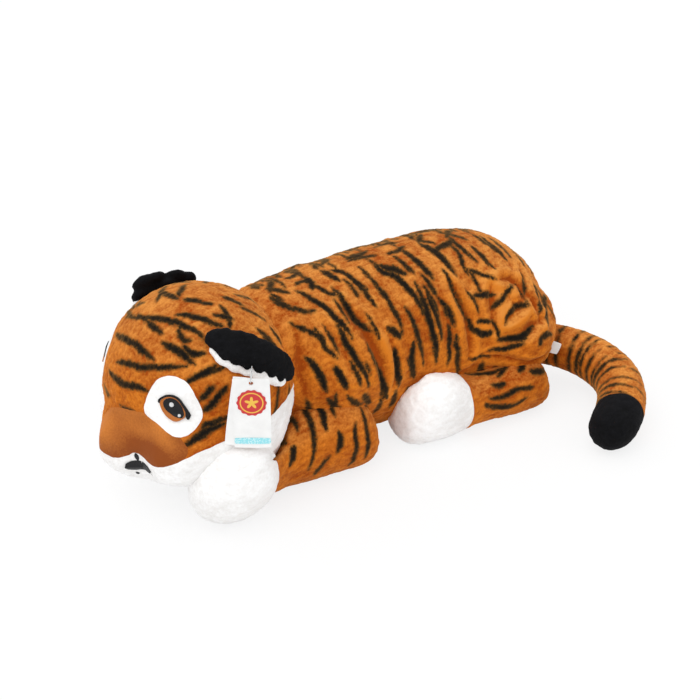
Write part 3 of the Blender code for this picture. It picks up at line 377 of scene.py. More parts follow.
def fur_finish(name, shade_and_tone, tip, highlight_and_sheen, sheen, coarse=1.0, dyed=False):
    """Plush pile: darker in its clump hollows and fold valleys as painted shade, mixed with random tone;
    lighter at its tips and on the fold ridges; a painted highlight on upward faces; and a pale sheen where
    it is seen edge on.
    """
    coat = bpy.context.scene.tiger_coat
    material, tree = new_finish(name)
    pile = add(tree, "Attribute", attribute_name="pile").outputs["Fac"]
    fine = grain(tree, 330, 3)
    clumps = grain(tree, 150, 2)
    sweep = grain(tree, 18, 1)
    # Painted shade: the pile's low clumps take the darker colour and its tall clumps the tip colour, mixed
    # with random tone from the noise.
    depth = maths(tree, "ADD", maths(tree, "MULTIPLY", pile, 0.40), maths(tree, "MULTIPLY", fine, 0.60))
    depth = maths(tree, "ADD", depth, maths(tree, "MULTIPLY", maths(tree, "SUBTRACT", sweep, 0.5), 0.6))
    # Painted shade in the fold valleys and painted highlight on the fold ridges.
    fold = add(tree, "Attribute", attribute_name="fold").outputs["Fac"]
    depth = maths(tree, "ADD", depth, maths(tree, "MULTIPLY", fold, 0.6))
    # Painted highlight: upward faces mix the tip colour toward the pale highlight colour.
    top = maths(tree, "MULTIPLY", add(tree, "Attribute", attribute_name="top").outputs["Fac"], 0.38)
    light = blended(tree, top, linear(tip), linear(highlight_and_sheen))
    colour = blended(tree, spread(tree, depth, 0.27, 0.73), linear(shade_and_tone), light)
    if dyed:
        stripe = add(tree, "Attribute", attribute_name="stripe").outputs["Fac"]
        ragged = maths(tree, "MULTIPLY", maths(tree, "SUBTRACT", fine, 0.5), 1.3)
        uneven = maths(tree, "MULTIPLY", maths(tree, "SUBTRACT", clumps, 0.5), 1.0)
        inked = maths(tree, "ADD", stripe, maths(tree, "ADD", ragged, uneven))
        colour = blended(tree, spread(tree, inked, -0.85, 0.05), colour, linear(coat.stripe_edge))
        colour = blended(tree, spread(tree, inked, -0.15, 0.55), colour, linear(coat.stripe))
    surface(
        tree,
        colour,
        0.92,
        bumps=((clumps, 0.0012, 0.40 * coarse), (fine, 0.0009, 0.55 * coarse)),
        Specular_IOR_Level=0.12,
        Sheen_Weight=sheen,
        Sheen_Roughness=0.4,
        Sheen_Tint=linear(highlight_and_sheen),
    )
    return material


def velour_finish(name, shade_and_tone, tip):
    """Short pile that lies in broad sweeps, where a hand has brushed it; the lighter and darker sweeps are
    painted highlight and shade for how the brushed pile catches the light, with fine random tone.
    """
    material, tree = new_finish(name)
    sweep = grain(tree, 18, 1, stretch=(1, 0.6, 1))
    fine = grain(tree, 420, 2)
    depth = maths(tree, "ADD", maths(tree, "MULTIPLY", sweep, 0.85), maths(tree, "MULTIPLY", fine, 0.15))
    # Painted highlight and shade across the broad sweeps, with fine random tone.
    colour = blended(tree, spread(tree, depth, 0.40, 0.60), linear(shade_and_tone), linear(tip))
    surface(
        tree,
        colour,
        0.75,
        bumps=((sweep, 0.0015, 0.2), (fine, 0.0006, 0.4)),
        Specular_IOR_Level=0.2,
        Sheen_Weight=0.45,
        Sheen_Roughness=0.35,
        Sheen_Tint=linear(tip),
    )
    return material


def thread_finish(name, colour, roughness=0.42):
    """Satin stitch: fine raised threads that lie side by side and shine a little."""
    material, tree = new_finish(name)
    place = add(tree, "TexCoord").outputs["Object"]
    threads = add(
        tree,
        "TexWave",
        {"Vector": place, "Scale": 420.0, "Distortion": 1.2, "Detail": 1.0},
        wave_type="BANDS",
        bands_direction="Z",
    ).outputs["Fac"]
    # The darker bands are painted shade in the grooves between the threads.
    dark = tuple(part * 0.72 for part in colour)
    shade = blended(tree, threads, linear(dark), linear(colour))
    surface(
        tree,
        shade,
        roughness,
        bumps=((threads, 0.0003, 0.4),),
        Specular_IOR_Level=0.25,
    )
    return material


def card_finish(name, colour, rough=0.5):
    """Coated card: nearly even, with faint fibres."""
    material, tree = new_finish(name)
    fibre = grain(tree, 900, 3, stretch=(1, 1, 0.3))
    cloud = grain(tree, 60, 2)
    shade = blended(
        tree, spread(tree, cloud, 0.3, 0.7), linear(tuple(part * 0.965 for part in colour)), linear(colour)
    )
    surface(tree, shade, rough, bumps=((fibre, 0.0002, 0.25),), Specular_IOR_Level=0.4)
    return material


def seal_finish(name, centre, facing, radius):
    """Red print with a thin gold ring and a plain gold star in its middle."""
    material, tree = new_finish(name)
    place = add(tree, "TexCoord").outputs["Object"]
    arm = add(tree, "VectorMath", {0: place, 1: centre}, operation="SUBTRACT").outputs[0]
    side = facing.cross(AXIS_Z).normalized()
    across = add(tree, "VectorMath", {0: arm, 1: side}, operation="DOT_PRODUCT").outputs["Value"]
    rise = add(tree, "VectorMath", {0: arm, 1: AXIS_Z}, operation="DOT_PRODUCT").outputs["Value"]
    reach = add(tree, "VectorMath", {0: arm}, operation="LENGTH").outputs["Value"]
    ring = maths(tree, "ABSOLUTE", maths(tree, "SUBTRACT", reach, radius * 0.76))
    ring = spread(tree, ring, radius * 0.030, radius * 0.055, 1.0, 0.0)
    turn = maths(tree, "ARCTAN2", across, rise)
    ray = maths(tree, "COSINE", maths(tree, "MULTIPLY", turn, 5.0))
    edge = maths(tree, "ADD", maths(tree, "MULTIPLY", ray, radius * 0.15), radius * 0.33)
    star = spread(tree, maths(tree, "SUBTRACT", reach, edge), -radius * 0.02, radius * 0.02, 1.0, 0.0)
    gold = maths(tree, "MAXIMUM", ring, star)
    cloud = grain(tree, 300, 2)
    red = blended(tree, cloud, linear(srgb(192, 34, 38)), linear(srgb(214, 52, 52)))
    colour = blended(tree, gold, red, linear(srgb(240, 190, 70)))
    surface(tree, colour, 0.38, bumps=((gold, 0.0002, 0.4),), Specular_IOR_Level=0.5)
    return material


def band_finish(name, colour, pale):
    """Pale blue print that is broken up by small white flecks."""
    material, tree = new_finish(name)
    fleck = grain(tree, 520, 2)
    shade = blended(tree, spread(tree, fleck, 0.50, 0.60), linear(colour), linear(pale))
    surface(tree, shade, 0.45, bumps=((fleck, 0.0001, 0.2),), Specular_IOR_Level=0.4)
    return material


def plastic_finish(name):
    """A clear bendy loop with faint draw marks."""
    material, tree = new_finish(name)
    marks = grain(tree, 600, 1)
    shade = blended(tree, marks, linear(srgb(225, 228, 230)), linear(srgb(245, 247, 248)))
    surface(
        tree,
        shade,
        0.22,
        bumps=((marks, 0.0001, 0.2),),
        Specular_IOR_Level=0.5,
        Transmission_Weight=0.6,
        IOR=1.46,
    )
    return material


def ribbon_finish(name):
    """Woven satin ribbon: fine ribs across its width."""
    material, tree = new_finish(name)
    place = add(tree, "TexCoord").outputs["Object"]
    ribs = add(
        tree, "TexWave", {"Vector": place, "Scale": 320.0, "Distortion": 0.4}, bands_direction="Z"
    ).outputs["Fac"]
    # The darker bands are painted shade in the grooves between the ribs.
    shade = blended(tree, ribs, linear(srgb(228, 228, 226)), linear(srgb(246, 246, 245)))
    surface(tree, shade, 0.5, bumps=((ribs, 0.0002, 0.4),), Specular_IOR_Level=0.4, Sheen_Weight=0.15)
    return material


def linked(name, mesh):
    obj = bpy.data.objects.new(name, mesh)
    bpy.context.scene.collection.objects.link(obj)
    return obj


def copy_of(name, nodes):
    """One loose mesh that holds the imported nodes' own faces."""
    bm = bmesh.new()
    for node in nodes:
        bm.from_mesh(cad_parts[node].data)
    mesh = bpy.data.meshes.new(name)
    bm.to_mesh(mesh)
    bm.free()
    return linked(name, mesh)


def applied(obj):
    """Puts the modified mesh in place of the plain one."""
    graph = bpy.context.evaluated_depsgraph_get()
    mesh = bpy.data.meshes.new_from_object(obj.evaluated_get(graph))
    obj.modifiers.clear()
    old = obj.data
    obj.data = mesh
    bpy.data.meshes.remove(old)
    return obj


def outer_shell(obj):
    """Keeps only the largest closed surface, which is the outside."""
    bm = bmesh.new()
    bm.from_mesh(obj.data)
    bm.verts.ensure_lookup_table()
    seen = set()
    shells = []
    for start in bm.verts:
        if start.index in seen:
            continue
        seen.add(start.index)
        shell, front = [start], [start]
        while front:
            vert = front.pop()
            for edge in vert.link_edges:
                other = edge.other_vert(vert)
                if other.index not in seen:
                    seen.add(other.index)
                    shell.append(other)
                    front.append(other)
        shells.append(shell)
    shells.sort(key=len)
    loose = [vert for shell in shells[:-1] for vert in shell]
    bmesh.ops.delete(bm, geom=loose, context="VERTS")
    bm.to_mesh(obj.data)
    bm.free()
    return obj


def stuffed_form(name, nodes, voxel, smoothing=14):
    """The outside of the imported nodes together, recut evenly and rid of its facets."""
    return melted(copy_of(name, nodes), voxel, smoothing)


def melted(obj, voxel, smoothing):
    """One even surface round all that the mesh holds, smoothed."""
    remesh = obj.modifiers.new("recut", "REMESH")
    remesh.mode = "VOXEL"
    remesh.voxel_size = voxel
    remesh.use_smooth_shade = True
    outer_shell(applied(obj))
    smooth = obj.modifiers.new("smooth", "SMOOTH")
    smooth.factor = 0.5
    smooth.iterations = smoothing
    return applied(obj)


def finer(obj, levels=1):
    subdivision = obj.modifiers.new("finer", "SUBSURF")
    subdivision.levels = levels
    subdivision.render_levels = levels
    return applied(obj)


def points_of(obj):
    points = np.empty(len(obj.data.vertices) * 3)
    obj.data.vertices.foreach_get("co", points)
    return points.reshape(-1, 3)


def normals_of(obj):
    normals = np.empty(len(obj.data.vertices) * 3)
    obj.data.vertices.foreach_get("normal", normals)
    return normals.reshape(-1, 3)


def set_points(obj, points):
    points[:, 2] = np.maximum(points[:, 2], 0.0003)
    obj.data.vertices.foreach_set("co", points.ravel())
    obj.data.update()


def store(obj, name, values):
    attribute = obj.data.attributes.new(name, "FLOAT", "POINT")
    attribute.data.foreach_set("value", np.asarray(values, np.float32))


def plumped(obj, cap):
    """Blows the cloth up a little from inside, as stuffing does, and lets no point move past the cap."""
    before = points_of(obj)
    cloth = obj.modifiers.new("stuffing", "CLOTH")
    cloth.settings.use_pressure = True
    cloth.settings.uniform_pressure_force = 4.0
    cloth.settings.effector_weights.gravity = 0.0
    cloth.settings.quality = 4
    cloth.collision_settings.use_collision = False
    scene = bpy.context.scene
    for number in range(1, 13):
        scene.frame_set(number)
    applied(obj)
    scene.frame_set(1)
    moved = points_of(obj) - before
    length = np.linalg.norm(moved, axis=1, keepdims=True)
    set_points(obj, before + moved * np.minimum(1.0, cap / np.maximum(length, 1e-9)))
    return obj


def tree_of(obj):
    return BVHTree.FromPolygons(
        [vert.co for vert in obj.data.vertices], [face.vertices for face in obj.data.polygons]
    )


def smooth_line(points, steps=3):
    """More points along the same given line, rounded at its bends."""
    line = [Vector((*p, 0)) for p in points]
    ends = [line[0] * 2 - line[1], *line, line[-1] * 2 - line[-2]]
    made = []
    for i in range(1, len(ends) - 2):
        a, b, c, d = ends[i - 1 : i + 3]
        for k in range(steps):
            t = k / steps
            bend = (a * 2 - b * 5 + c * 4 - d) * t * t
            twist = (b * 3 - a - c * 3 + d) * t ** 3
            made.append(((b * 2) + (c - a) * t + bend + twist) / 2)
    made.append(line[-1])
    return [(p.x, p.y) for p in made]


def laid_on(tree, place, points):
    """The points of a line, put on the surface from inside; place gives where each ray starts and goes."""
    found = []
    for along, turned in smooth_line(points):
        origin, direction = place(along, turned)
        hit = tree.ray_cast(origin, direction)[0]
        if hit:
            found.append(hit)
    return found


def depth_inside(points, lines, width):
    """How far each point lies inside the nearest line's tapered width, in shares of half that width."""
    half = width / 2
    field = np.full(len(points), -6.0)
    for line, wide in lines:
        if len(line) < 2:
            continue
        path = np.array([tuple(p) for p in line])
        reach = half * 6
        near = np.where(np.all((points > path.min(0) - reach) & (points < path.max(0) + reach), axis=1))[0]
        if not len(near):
            continue
        here = points[near]
        for i, (start, end) in enumerate(zip(path, path[1:])):
            run = end - start
            share = np.clip((here - start) @ run / max(run @ run, 1e-12), 0, 1)
            distance = np.linalg.norm(here - start - share[:, None] * run, axis=1)
            along = (i + share) / (len(path) - 1)
            taper = np.maximum(0.0, 4 * along * (1 - along)) ** 0.6
            value = (half * wide * taper - distance) / half
            field[near] = np.maximum(field[near], value)
    return field


def dye(obj, lines):
    """Stores where the stripes are, waved a little so that no edge runs true."""
    coat = bpy.context.scene.tiger_coat
    points = points_of(obj)
    wave = np.array([tuple(noise.noise_vector(Vector(p) * 55)) for p in points]) * 0.0022
    store(obj, "stripe", depth_inside(points + wave, lines, coat.stripe_width))


def creased(obj, places):
    """Pulls folds into a form, each one a valley between two soft ridges."""
    coat = bpy.context.scene.tiger_coat
    tree = tree_of(obj)
    points, normals = points_of(obj), normals_of(obj)
    pulled = np.zeros(len(points))
    for place in places:
        for weight, breadth, line in FLANK_FOLDS:
            inside = depth_inside(points, [(laid_on(tree, place, line), breadth)], coat.fold_width * 2)
            ridge = np.clip(1 - np.abs(inside + 0.45) / 0.75, 0, 1)
            pulled += weight * (0.45 * ridge - softly(inside))
    pulled = np.clip(pulled, -1.3, 0.8)
    set_points(obj, points + normals * pulled[:, None] * coat.fold_depth)
    # The stored fold values also darken the valleys and lighten the ridges in the fur's colour: painted
    # shade and highlight.
    store(obj, "fold", pulled)
    return obj


def swollen(obj, amount, size=0.055, seed=0.0):
    """Uneven stuffing: broad, shallow lumps."""
    points, normals = points_of(obj), normals_of(obj)
    lump = np.array([noise.noise(Vector(p) / size + Vector((seed, 0, 0))) for p in points])
    set_points(obj, points + normals * lump[:, None] * amount)
    return obj


def with_pile(obj, height, clump, held=None, seed=0.0):
    """Raises the pile in clumps drawn out along the body; held is how far each point may rise, 0 to 1."""
    points, normals = points_of(obj), normals_of(obj)
    lean = np.array(tuple(AXIS_X))
    stretched = points - np.outer(points @ lean, lean) * 0.5
    scale = 1 / clump
    tuft = np.array([
        0.62 * noise.noise(Vector(p) * scale + Vector((seed, 0, 0)))
        + 0.38 * noise.noise(Vector(p) * scale * 2.3)
        for p in stretched
    ])
    tall = np.clip(0.5 + tuft * 0.9, 0, 1)
    rise = tall if held is None else tall * held
    level = np.ones(len(points)) if held is None else held
    set_points(obj, points + normals * (height * (rise - 0.35 * level))[:, None])
    # The pile's clump height also darkens the hollows in the fur's colour: painted shade.
    store(obj, "pile", tall if held is None else tall * (0.5 + 0.5 * held))
    # How far each point faces up, for the painted highlight on upward faces.
    store(obj, "top", softly((normals[:, 2] - 0.15) / 0.85))
    for polygon in obj.data.polygons:
        polygon.use_smooth = True
    return obj


def dressed(obj, material, body, nodes):
    """Gives a piece its finish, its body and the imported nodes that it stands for."""
    obj.data.materials.clear()
    obj.data.materials.append(material)
    if body:
        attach(obj, body)
    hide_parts(*nodes)
    return obj


def fur_of(name, *look, **more):
    """A plush finish, made the first time that it is asked for."""
    return bpy.data.materials.get(name) or fur_finish(name, *look, **more)


def striped_fur():
    coat = bpy.context.scene.tiger_coat
    return fur_of("striped_plush", coat.orange_shade_and_tone, coat.orange, coat.highlight_and_sheen, 0.6, dyed=True)


def white_fur():
    coat = bpy.context.scene.tiger_coat
    return fur_of("white_plush", coat.white_shade_and_tone, coat.white, coat.white, 0.10, 0.4)


def black_fur():
    coat = bpy.context.scene.tiger_coat
    # The darker black is painted shade in the pile's clump hollows, mixed with random tone.
    shade_and_tone = tuple(part * 0.45 for part in coat.black)
    return fur_of("black_plush", shade_and_tone, coat.black, coat.black, 0.3)


def in_torso(hand):
    """Where a line on the torso starts and which way it goes, on one side."""
    length = TORSO_HIGH.x - TORSO_LOW.x
    middle = (TORSO_LOW.z + TORSO_HIGH.z) / 2

    def place(along, turned):
        angle = math.radians(turned)
        origin = Vector((TORSO_LOW.x + along * length, 0, middle))
        return origin, Vector((0, hand * math.sin(angle), math.cos(angle)))

    return place


def in_head(hand):
    """The same for the head, whose lines are given in degrees round and up."""
    def place(around, up):
        turn, rise = math.radians(around), math.radians(up)
        flat = math.cos(rise)
        direction = Vector((-math.cos(turn) * flat, hand * math.sin(turn) * flat, math.sin(rise)))
        return HEAD_CENTRE, direction

    return place


def in_leg(low, high, hand):
    """The same for a leg, along it from the body."""
    middle = (low + high) / 2

    def place(along, turned):
        angle = math.radians(turned)
        origin = Vector((high.x - along * (high.x - low.x), middle.y, middle.z))
        return origin, Vector((0, hand * math.sin(angle), math.cos(angle)))

    return place


def in_tail(along, turned):
    """Along is degrees round the tail's bend, and turned is degrees from its top to its outer side."""
    sweep, angle = math.radians(along), math.radians(turned)
    spoke = Vector((math.sin(sweep), math.cos(sweep), 0))
    return TAIL_HUB + spoke * TAIL_ARC, spoke * math.sin(angle) + AXIS_Z * math.cos(angle)


def joined_boxes(*nodes):
    """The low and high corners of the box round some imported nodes."""
    boxes = [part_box(node) for node in nodes]
    low = Vector([min(box[0][k] for box in boxes) for k in range(3)])
    high = Vector([max(box[1][k] for box in boxes) for k in range(3)])
    return low, high


def drawn(tree, place, lines, wide=1.0, seed=1):
    """Lines on the surface with their widths, which vary from one to the next as hand-dyed ones do."""
    chance = random.Random(seed)
    return [(laid_on(tree, place, line), wide * chance.uniform(0.62, 1.15)) for line in lines]


def belly_lines(seed):
    """Short bars that carry the stripes on under the belly."""
    chance = random.Random(seed)
    lines = []
    for row in range(18):
        along = 0.10 + row * 0.048
        start = chance.uniform(104, 116)
        end = start + chance.uniform(14, 34)
        lines.append(((along, start), (along + 0.008, (start + end) / 2), (along + 0.004, end)))
    return lines


def spine_lines(seed):
    """Thin bars that cross the spine, between the stripes of the flanks."""
    chance = random.Random(seed)
    lines = []
    along = 0.13
    while along < 0.96:
        start = chance.uniform(-44, -26)
        end = start + chance.uniform(18, 34)
        lean = chance.uniform(-0.018, 0.018)
        lines.append(((along, start), (along + lean / 2, (start + end) / 2 - 2), (along + lean, end)))
        along += chance.uniform(0.020, 0.034)
    return lines


def stray_lines(seed):
    """Thin short bars that fill the gaps between the flank's stripes."""
    chance = random.Random(seed)
    lines = []
    for _ in range(30):
        along, start = chance.uniform(0.12, 0.94), chance.uniform(2, 92)
        run, lean = chance.uniform(9, 24), chance.uniform(0.002, 0.022)
        lines.append(((along, start), (along + lean * 0.6, start + run / 2), (along + lean, start + run)))
    return lines


def haunched(obj):
    """Fills out the thighs over the hind legs, and puckers them."""
    points, normals = points_of(obj), normals_of(obj)
    back = softly((points[:, 0] - 0.165) / 0.080)
    side = softly((np.abs(points[:, 1]) - 0.020) / 0.060)
    low = softly((0.155 - points[:, 2]) / 0.080)
    level = normals * np.array((1, 1, 0.15))
    bulge = (back * side * low)[:, None] * level * np.array((0.009, 0.018, 0.009))
    pucker = np.array([noise.noise(Vector(p) * 26 + Vector((4, 0, 0))) for p in points])
    middle = softly(1.3 - np.abs(points[:, 2] - 0.13) / 0.10)
    set_points(obj, points + bulge + normals * (back * side * middle * pucker * 0.0075)[:, None])
    return obj


def softly(share):
    """From 0 to 1 without a kink at either end."""
    share = np.clip(share, 0, 1)
    return share * share * (3 - 2 * share)


class TIGER_OT_torso(bpy.types.Operator):
    """Sew the torso's striped plush over its stuffing"""

    bl_idname = "tiger.torso"
    bl_label = "Torso"

    def execute(self, context):
        coat = context.scene.tiger_coat
        nodes = ("torso_skin", "torso_filling")
        obj = plumped(stuffed_form("torso_coat", nodes, coat.voxel), 0.003)
        swollen(obj, coat.lump)
        haunched(obj)
        creased(finer(obj), [in_torso(hand) for _, hand in SIDES])
        tree = tree_of(obj)
        lines = []
        for _, hand in SIDES:
            lines += drawn(tree, in_torso(hand), FLANK_STRIPES, seed=10 + hand)
            lines += drawn(tree, in_torso(hand), belly_lines(20 + hand), seed=30 + hand)
            lines += drawn(tree, in_torso(hand), stray_lines(50 + hand), 0.5, seed=60 + hand)
        lines += drawn(tree, in_torso(LEFT), spine_lines(15), 0.6, seed=16)
        dye(obj, lines)
        with_pile(obj, coat.pile, coat.clump)
        dressed(obj, striped_fur(), None, nodes)
        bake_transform(obj)
        return {"FINISHED"}


HEAD_ZONES = ("head_crown", "jaw", "nose_bridge", "eye_patch_left", "eye_patch_right")
EMBROIDERY = tuple(
    f"{name}_{side}" for side, _ in SIDES
    for name in ("iris", "pupil", "lash", "large_glint", "small_glint", "whisker_dot")
) + ("mouth", "philtrum")


def nearest_panels(obj, nodes):
    """For each face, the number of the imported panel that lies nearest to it."""
    trees = [tree_of(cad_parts[node]) for node in nodes]
    labels = []
    for face in obj.data.polygons:
        reaches = [tree.find_nearest(face.center)[3] for tree in trees]
        labels.append(reaches.index(min(reaches)))
    return labels


def evened_seams(obj, labels, rounds=6):
    """Slides the points of each seam along it until the seam runs smoothly."""
    bm = bmesh.new()
    bm.from_mesh(obj.data)
    bm.faces.ensure_lookup_table()
    seam = [
        edge for edge in bm.edges
        if len(edge.link_faces) == 2 and labels[edge.link_faces[0].index] != labels[edge.link_faces[1].index]
    ]
    beside = {}
    for edge in seam:
        first, second = edge.verts
        beside.setdefault(first, []).append(second)
        beside.setdefault(second, []).append(first)
    for _ in range(rounds):
        moved = {
            vert: (vert.co + sum((other.co for other in others), Vector()) / len(others)) / 2
            for vert, others in beside.items()
            if len(others) == 2
        }
        for vert, place in moved.items():
            vert.co = place
    bm.to_mesh(obj.data)
    bm.free()


def panel_of(obj, labels, number, name):
    """The faces of one panel as a piece of its own."""
    bm = bmesh.new()
    bm.from_mesh(obj.data)
    bm.faces.ensure_lookup_table()
    others = [face for face in bm.faces if labels[face.index] != number]
    bmesh.ops.delete(bm, geom=others, context="FACES")
    mesh = bpy.data.meshes.new(name)
    bm.to_mesh(mesh)
    bm.free()
    return linked(name, mesh)


def border_share(obj, reach):
    """From 0 at the piece's open edge to 1 at reach metres from it."""
    bm = bmesh.new()
    bm.from_mesh(obj.data)
    edge_points = [vert.co.copy() for vert in bm.verts if vert.is_boundary]
    bm.free()
    if not edge_points:
        return np.ones(len(obj.data.vertices))
    tree = KDTree(len(edge_points))
    for i, point in enumerate(edge_points):
        tree.insert(point, i)
    tree.balance()
    distances = np.array([tree.find(vert.co)[2] for vert in obj.data.vertices])
    return softly(distances / reach)


def thread_share(obj, names, reach):
    """From 0 under the embroidery, which presses the pile flat, to 1 at reach metres from it."""
    trees = [tree_of(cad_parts[name]) for name in names]
    shares = []
    for vert in obj.data.vertices:
        distance = min((tree.find_nearest(vert.co, reach * 2)[3] or reach * 2) for tree in trees)
        shares.append(distance)
    return softly(np.array(shares) / reach - 0.3)


class TIGER_OT_head(bpy.types.Operator):
    """Sew the head's panels: striped crown, white chin, brown muzzle and eye patches"""

    bl_idname = "tiger.head"
    bl_label = "Head"

    def execute(self, context):
        coat = context.scene.tiger_coat
        nodes = (*HEAD_ZONES, "head_filling")
        whole = plumped(stuffed_form("head_whole", nodes, LIMB_VOXEL, LIMB_SMOOTHING), 0.0015)
        finer(whole)
        labels = nearest_panels(whole, HEAD_ZONES)
        evened_seams(whole, labels)
        tree = tree_of(whole)
        lines = drawn(tree, in_head(LEFT), BROW_STRIPES, 0.85, seed=5)
        for _, hand in SIDES:
            lines += drawn(tree, in_head(hand), CHEEK_STRIPES, 0.85, seed=6 + hand)
        heights = {"head_crown": coat.pile, "jaw": coat.pile, "nose_bridge": 0.0006}
        finishes = {
            "head_crown": striped_fur(),
            "jaw": white_fur(),
            "nose_bridge": velour_finish("muzzle_velour", coat.muzzle_shade_and_tone, coat.muzzle),
        }
        for number, zone in enumerate(HEAD_ZONES):
            piece = panel_of(whole, labels, number, zone + "_coat")
            held = border_share(piece, SEAM_REACH) * thread_share(piece, EMBROIDERY, 0.004)
            if zone == "head_crown":
                dye(piece, lines)
            with_pile(piece, heights.get(zone, coat.pile * 0.6), coat.clump, held=held)
            nodes = (zone, "head_filling") if zone == "head_crown" else (zone,)
            dressed(piece, finishes.get(zone, white_fur()), None, nodes)
            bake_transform(piece)
        bpy.data.objects.remove(whole)
        return {"FINISHED"}


THREADS = (
    ("iris", srgb(206, 118, 44)),
    ("pupil", srgb(9, 9, 12)),
    ("lash", srgb(9, 9, 12)),
    ("large_glint", srgb(250, 250, 250)),
    ("small_glint", srgb(250, 250, 250)),
    ("whisker_dot", srgb(26, 26, 28)),
)


class TIGER_OT_face(bpy.types.Operator):
    """Stitch the eyes, the mouth and the whisker dots"""

    bl_idname = "tiger.face"
    bl_label = "Face"

    def execute(self, context):
        dark = thread_finish("mouth_thread", srgb(28, 28, 30))
        repaint("mouth", dark)
        repaint("philtrum", dark)
        for name, colour in THREADS:
            thread = thread_finish(name + "_thread", colour)
            for side, _ in SIDES:
                repaint(f"{name}_{side}", thread)
        return {"FINISHED"}


def repaint(node, material):
    """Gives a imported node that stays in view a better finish."""
    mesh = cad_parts[node].data
    mesh.materials.clear()
    mesh.materials.append(material)


# Lumps of each ear: degrees round and up its own side of the head, lift off the head, radius
BLACK_LUMPS = {
    "left": (
        (75, 51, 0.012, 0.0145),
        (81, 48, 0.015, 0.0190),
        (88, 44, 0.017, 0.0215),
        (95, 40.5, 0.018, 0.0220),
        (102, 35.5, 0.017, 0.0215),
        (109, 30, 0.016, 0.0205),
        (115, 25, 0.014, 0.0185),
        (119, 20, 0.012, 0.0150),
        (78, 42, 0.016, 0.0085),
        (84, 38, 0.017, 0.0090),
        (90, 34.5, 0.018, 0.0095),
        (97, 31, 0.018, 0.0095),
        (104, 26, 0.017, 0.0095),
        (110, 21, 0.016, 0.0090),
    ),
    "right": (
        (84, 42, 0.024, 0.0180),
        (91, 43, 0.023, 0.0165),
        (99, 40, 0.013, 0.0150),
        (107, 41, 0.022, 0.0165),
        (113, 37, 0.021, 0.0180),
        (83, 37, 0.014, 0.0185),
        (90, 33, 0.013, 0.0230),
        (102, 32, 0.013, 0.0230),
        (114, 31, 0.012, 0.0200),
    ),
}
WHITE_LUMPS = {
    "left": (
        (76, 46, 0.008, 0.0130),
        (80, 42, 0.009, 0.0165),
        (86, 38, 0.009, 0.0175),
        (92, 35, 0.010, 0.0175),
        (98, 31, 0.010, 0.0175),
        (104, 26, 0.010, 0.0170),
        (109, 22, 0.010, 0.0150),
        (112, 18.5, 0.010, 0.0110),
    ),
    "right": (
        (80, 30, 0.007, 0.0170),
        (88, 27, 0.007, 0.0185),
        (96, 25, 0.007, 0.0190),
        (104, 25, 0.007, 0.0185),
        (112, 26, 0.007, 0.0170),
        (118, 28, 0.007, 0.0140),
    ),
}
EAR_FLATNESS_SHARE = 0.46


def ear_pad(name, lumps, hand):
    """Flat lumps of stuffing on the head, melted into one soft pad."""
    crown = tree_of(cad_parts["head_crown"])
    place = in_head(hand)
    bm = bmesh.new()
    for around, up, lift, radius in lumps:
        origin, direction = place(around, up)
        foot = crown.ray_cast(origin, direction)[0]
        if foot is None:
            raise RuntimeError(f"{name} misses the head at {around}, {up}")
        turned = direction.to_track_quat("Z", "Y").to_matrix().to_4x4()
        size = Matrix.Diagonal((radius, radius, radius * EAR_FLATNESS_SHARE, 1))
        middle = Matrix.Translation(foot + direction * lift)
        bmesh.ops.create_icosphere(bm, subdivisions=3, radius=1, matrix=middle @ turned @ size)
    mesh = bpy.data.meshes.new(name)
    bm.to_mesh(mesh)
    bm.free()
    return melted(linked(name, mesh), 0.0022, 9)


class TIGER_OT_ears(bpy.types.Operator):
    """Sew both ears: black plush outside, with the white lining's wavy edge below it"""

    bl_idname = "tiger.ears"
    bl_label = "Ears"

    def execute(self, context):
        coat = context.scene.tiger_coat
        for side, hand in SIDES:
            for layer, lumps, make in (
                ("back", BLACK_LUMPS, black_fur), ("lining", WHITE_LUMPS, white_fur)
            ):
                node = f"ear_{layer}_{side}"
                obj = ear_pad(node + "_coat", lumps[side], hand)
                swollen(obj, 0.0010, size=0.016, seed=hand * 3.0)
                with_pile(obj, coat.pile * 0.8, coat.clump * 0.8, seed=hand)
                dressed(obj, make(), f"ear_{side}", (node,))
        return {"FINISHED"}


# How full each leg is stuffed: share of the way along it, width, height, lift off the floor, lean outward
FORELEG_FULLNESS = (
    (0.00, 1.06, 1.22, 0.000, 0.000),
    (0.25, 1.10, 1.28, 0.000, 0.000),
    (0.42, 1.04, 1.20, 0.002, 0.004),
    (0.56, 0.94, 1.06, 0.006, 0.012),
    (0.64, 0.98, 1.12, 0.004, 0.018),
    (0.78, 1.04, 1.15, 0.000, 0.020),
    (1.00, 1.00, 1.10, 0.000, 0.020),
)
# The fat forepaw beside the cheek: middle, half sizes, and how far it leans outward as it rises
FOREPAW_CENTRE = (-0.264, 0.116, 0.064)
FOREPAW_HALF = (0.061, 0.052, 0.064)
FOREPAW_LEAN = 0.30
HINDLEG_FULLNESS = (
    (0.00, 1.04, 1.16, 0.000, 0.000),
    (0.30, 1.04, 1.12, 0.000, 0.000),
    (0.50, 0.98, 1.04, 0.002, 0.000),
    (0.60, 1.02, 1.06, 0.002, 0.000),
    (0.76, 1.12, 1.16, 0.000, 0.004),
    (0.90, 1.14, 1.20, 0.000, 0.004),
    (1.00, 1.10, 1.14, 0.000, 0.000),
)


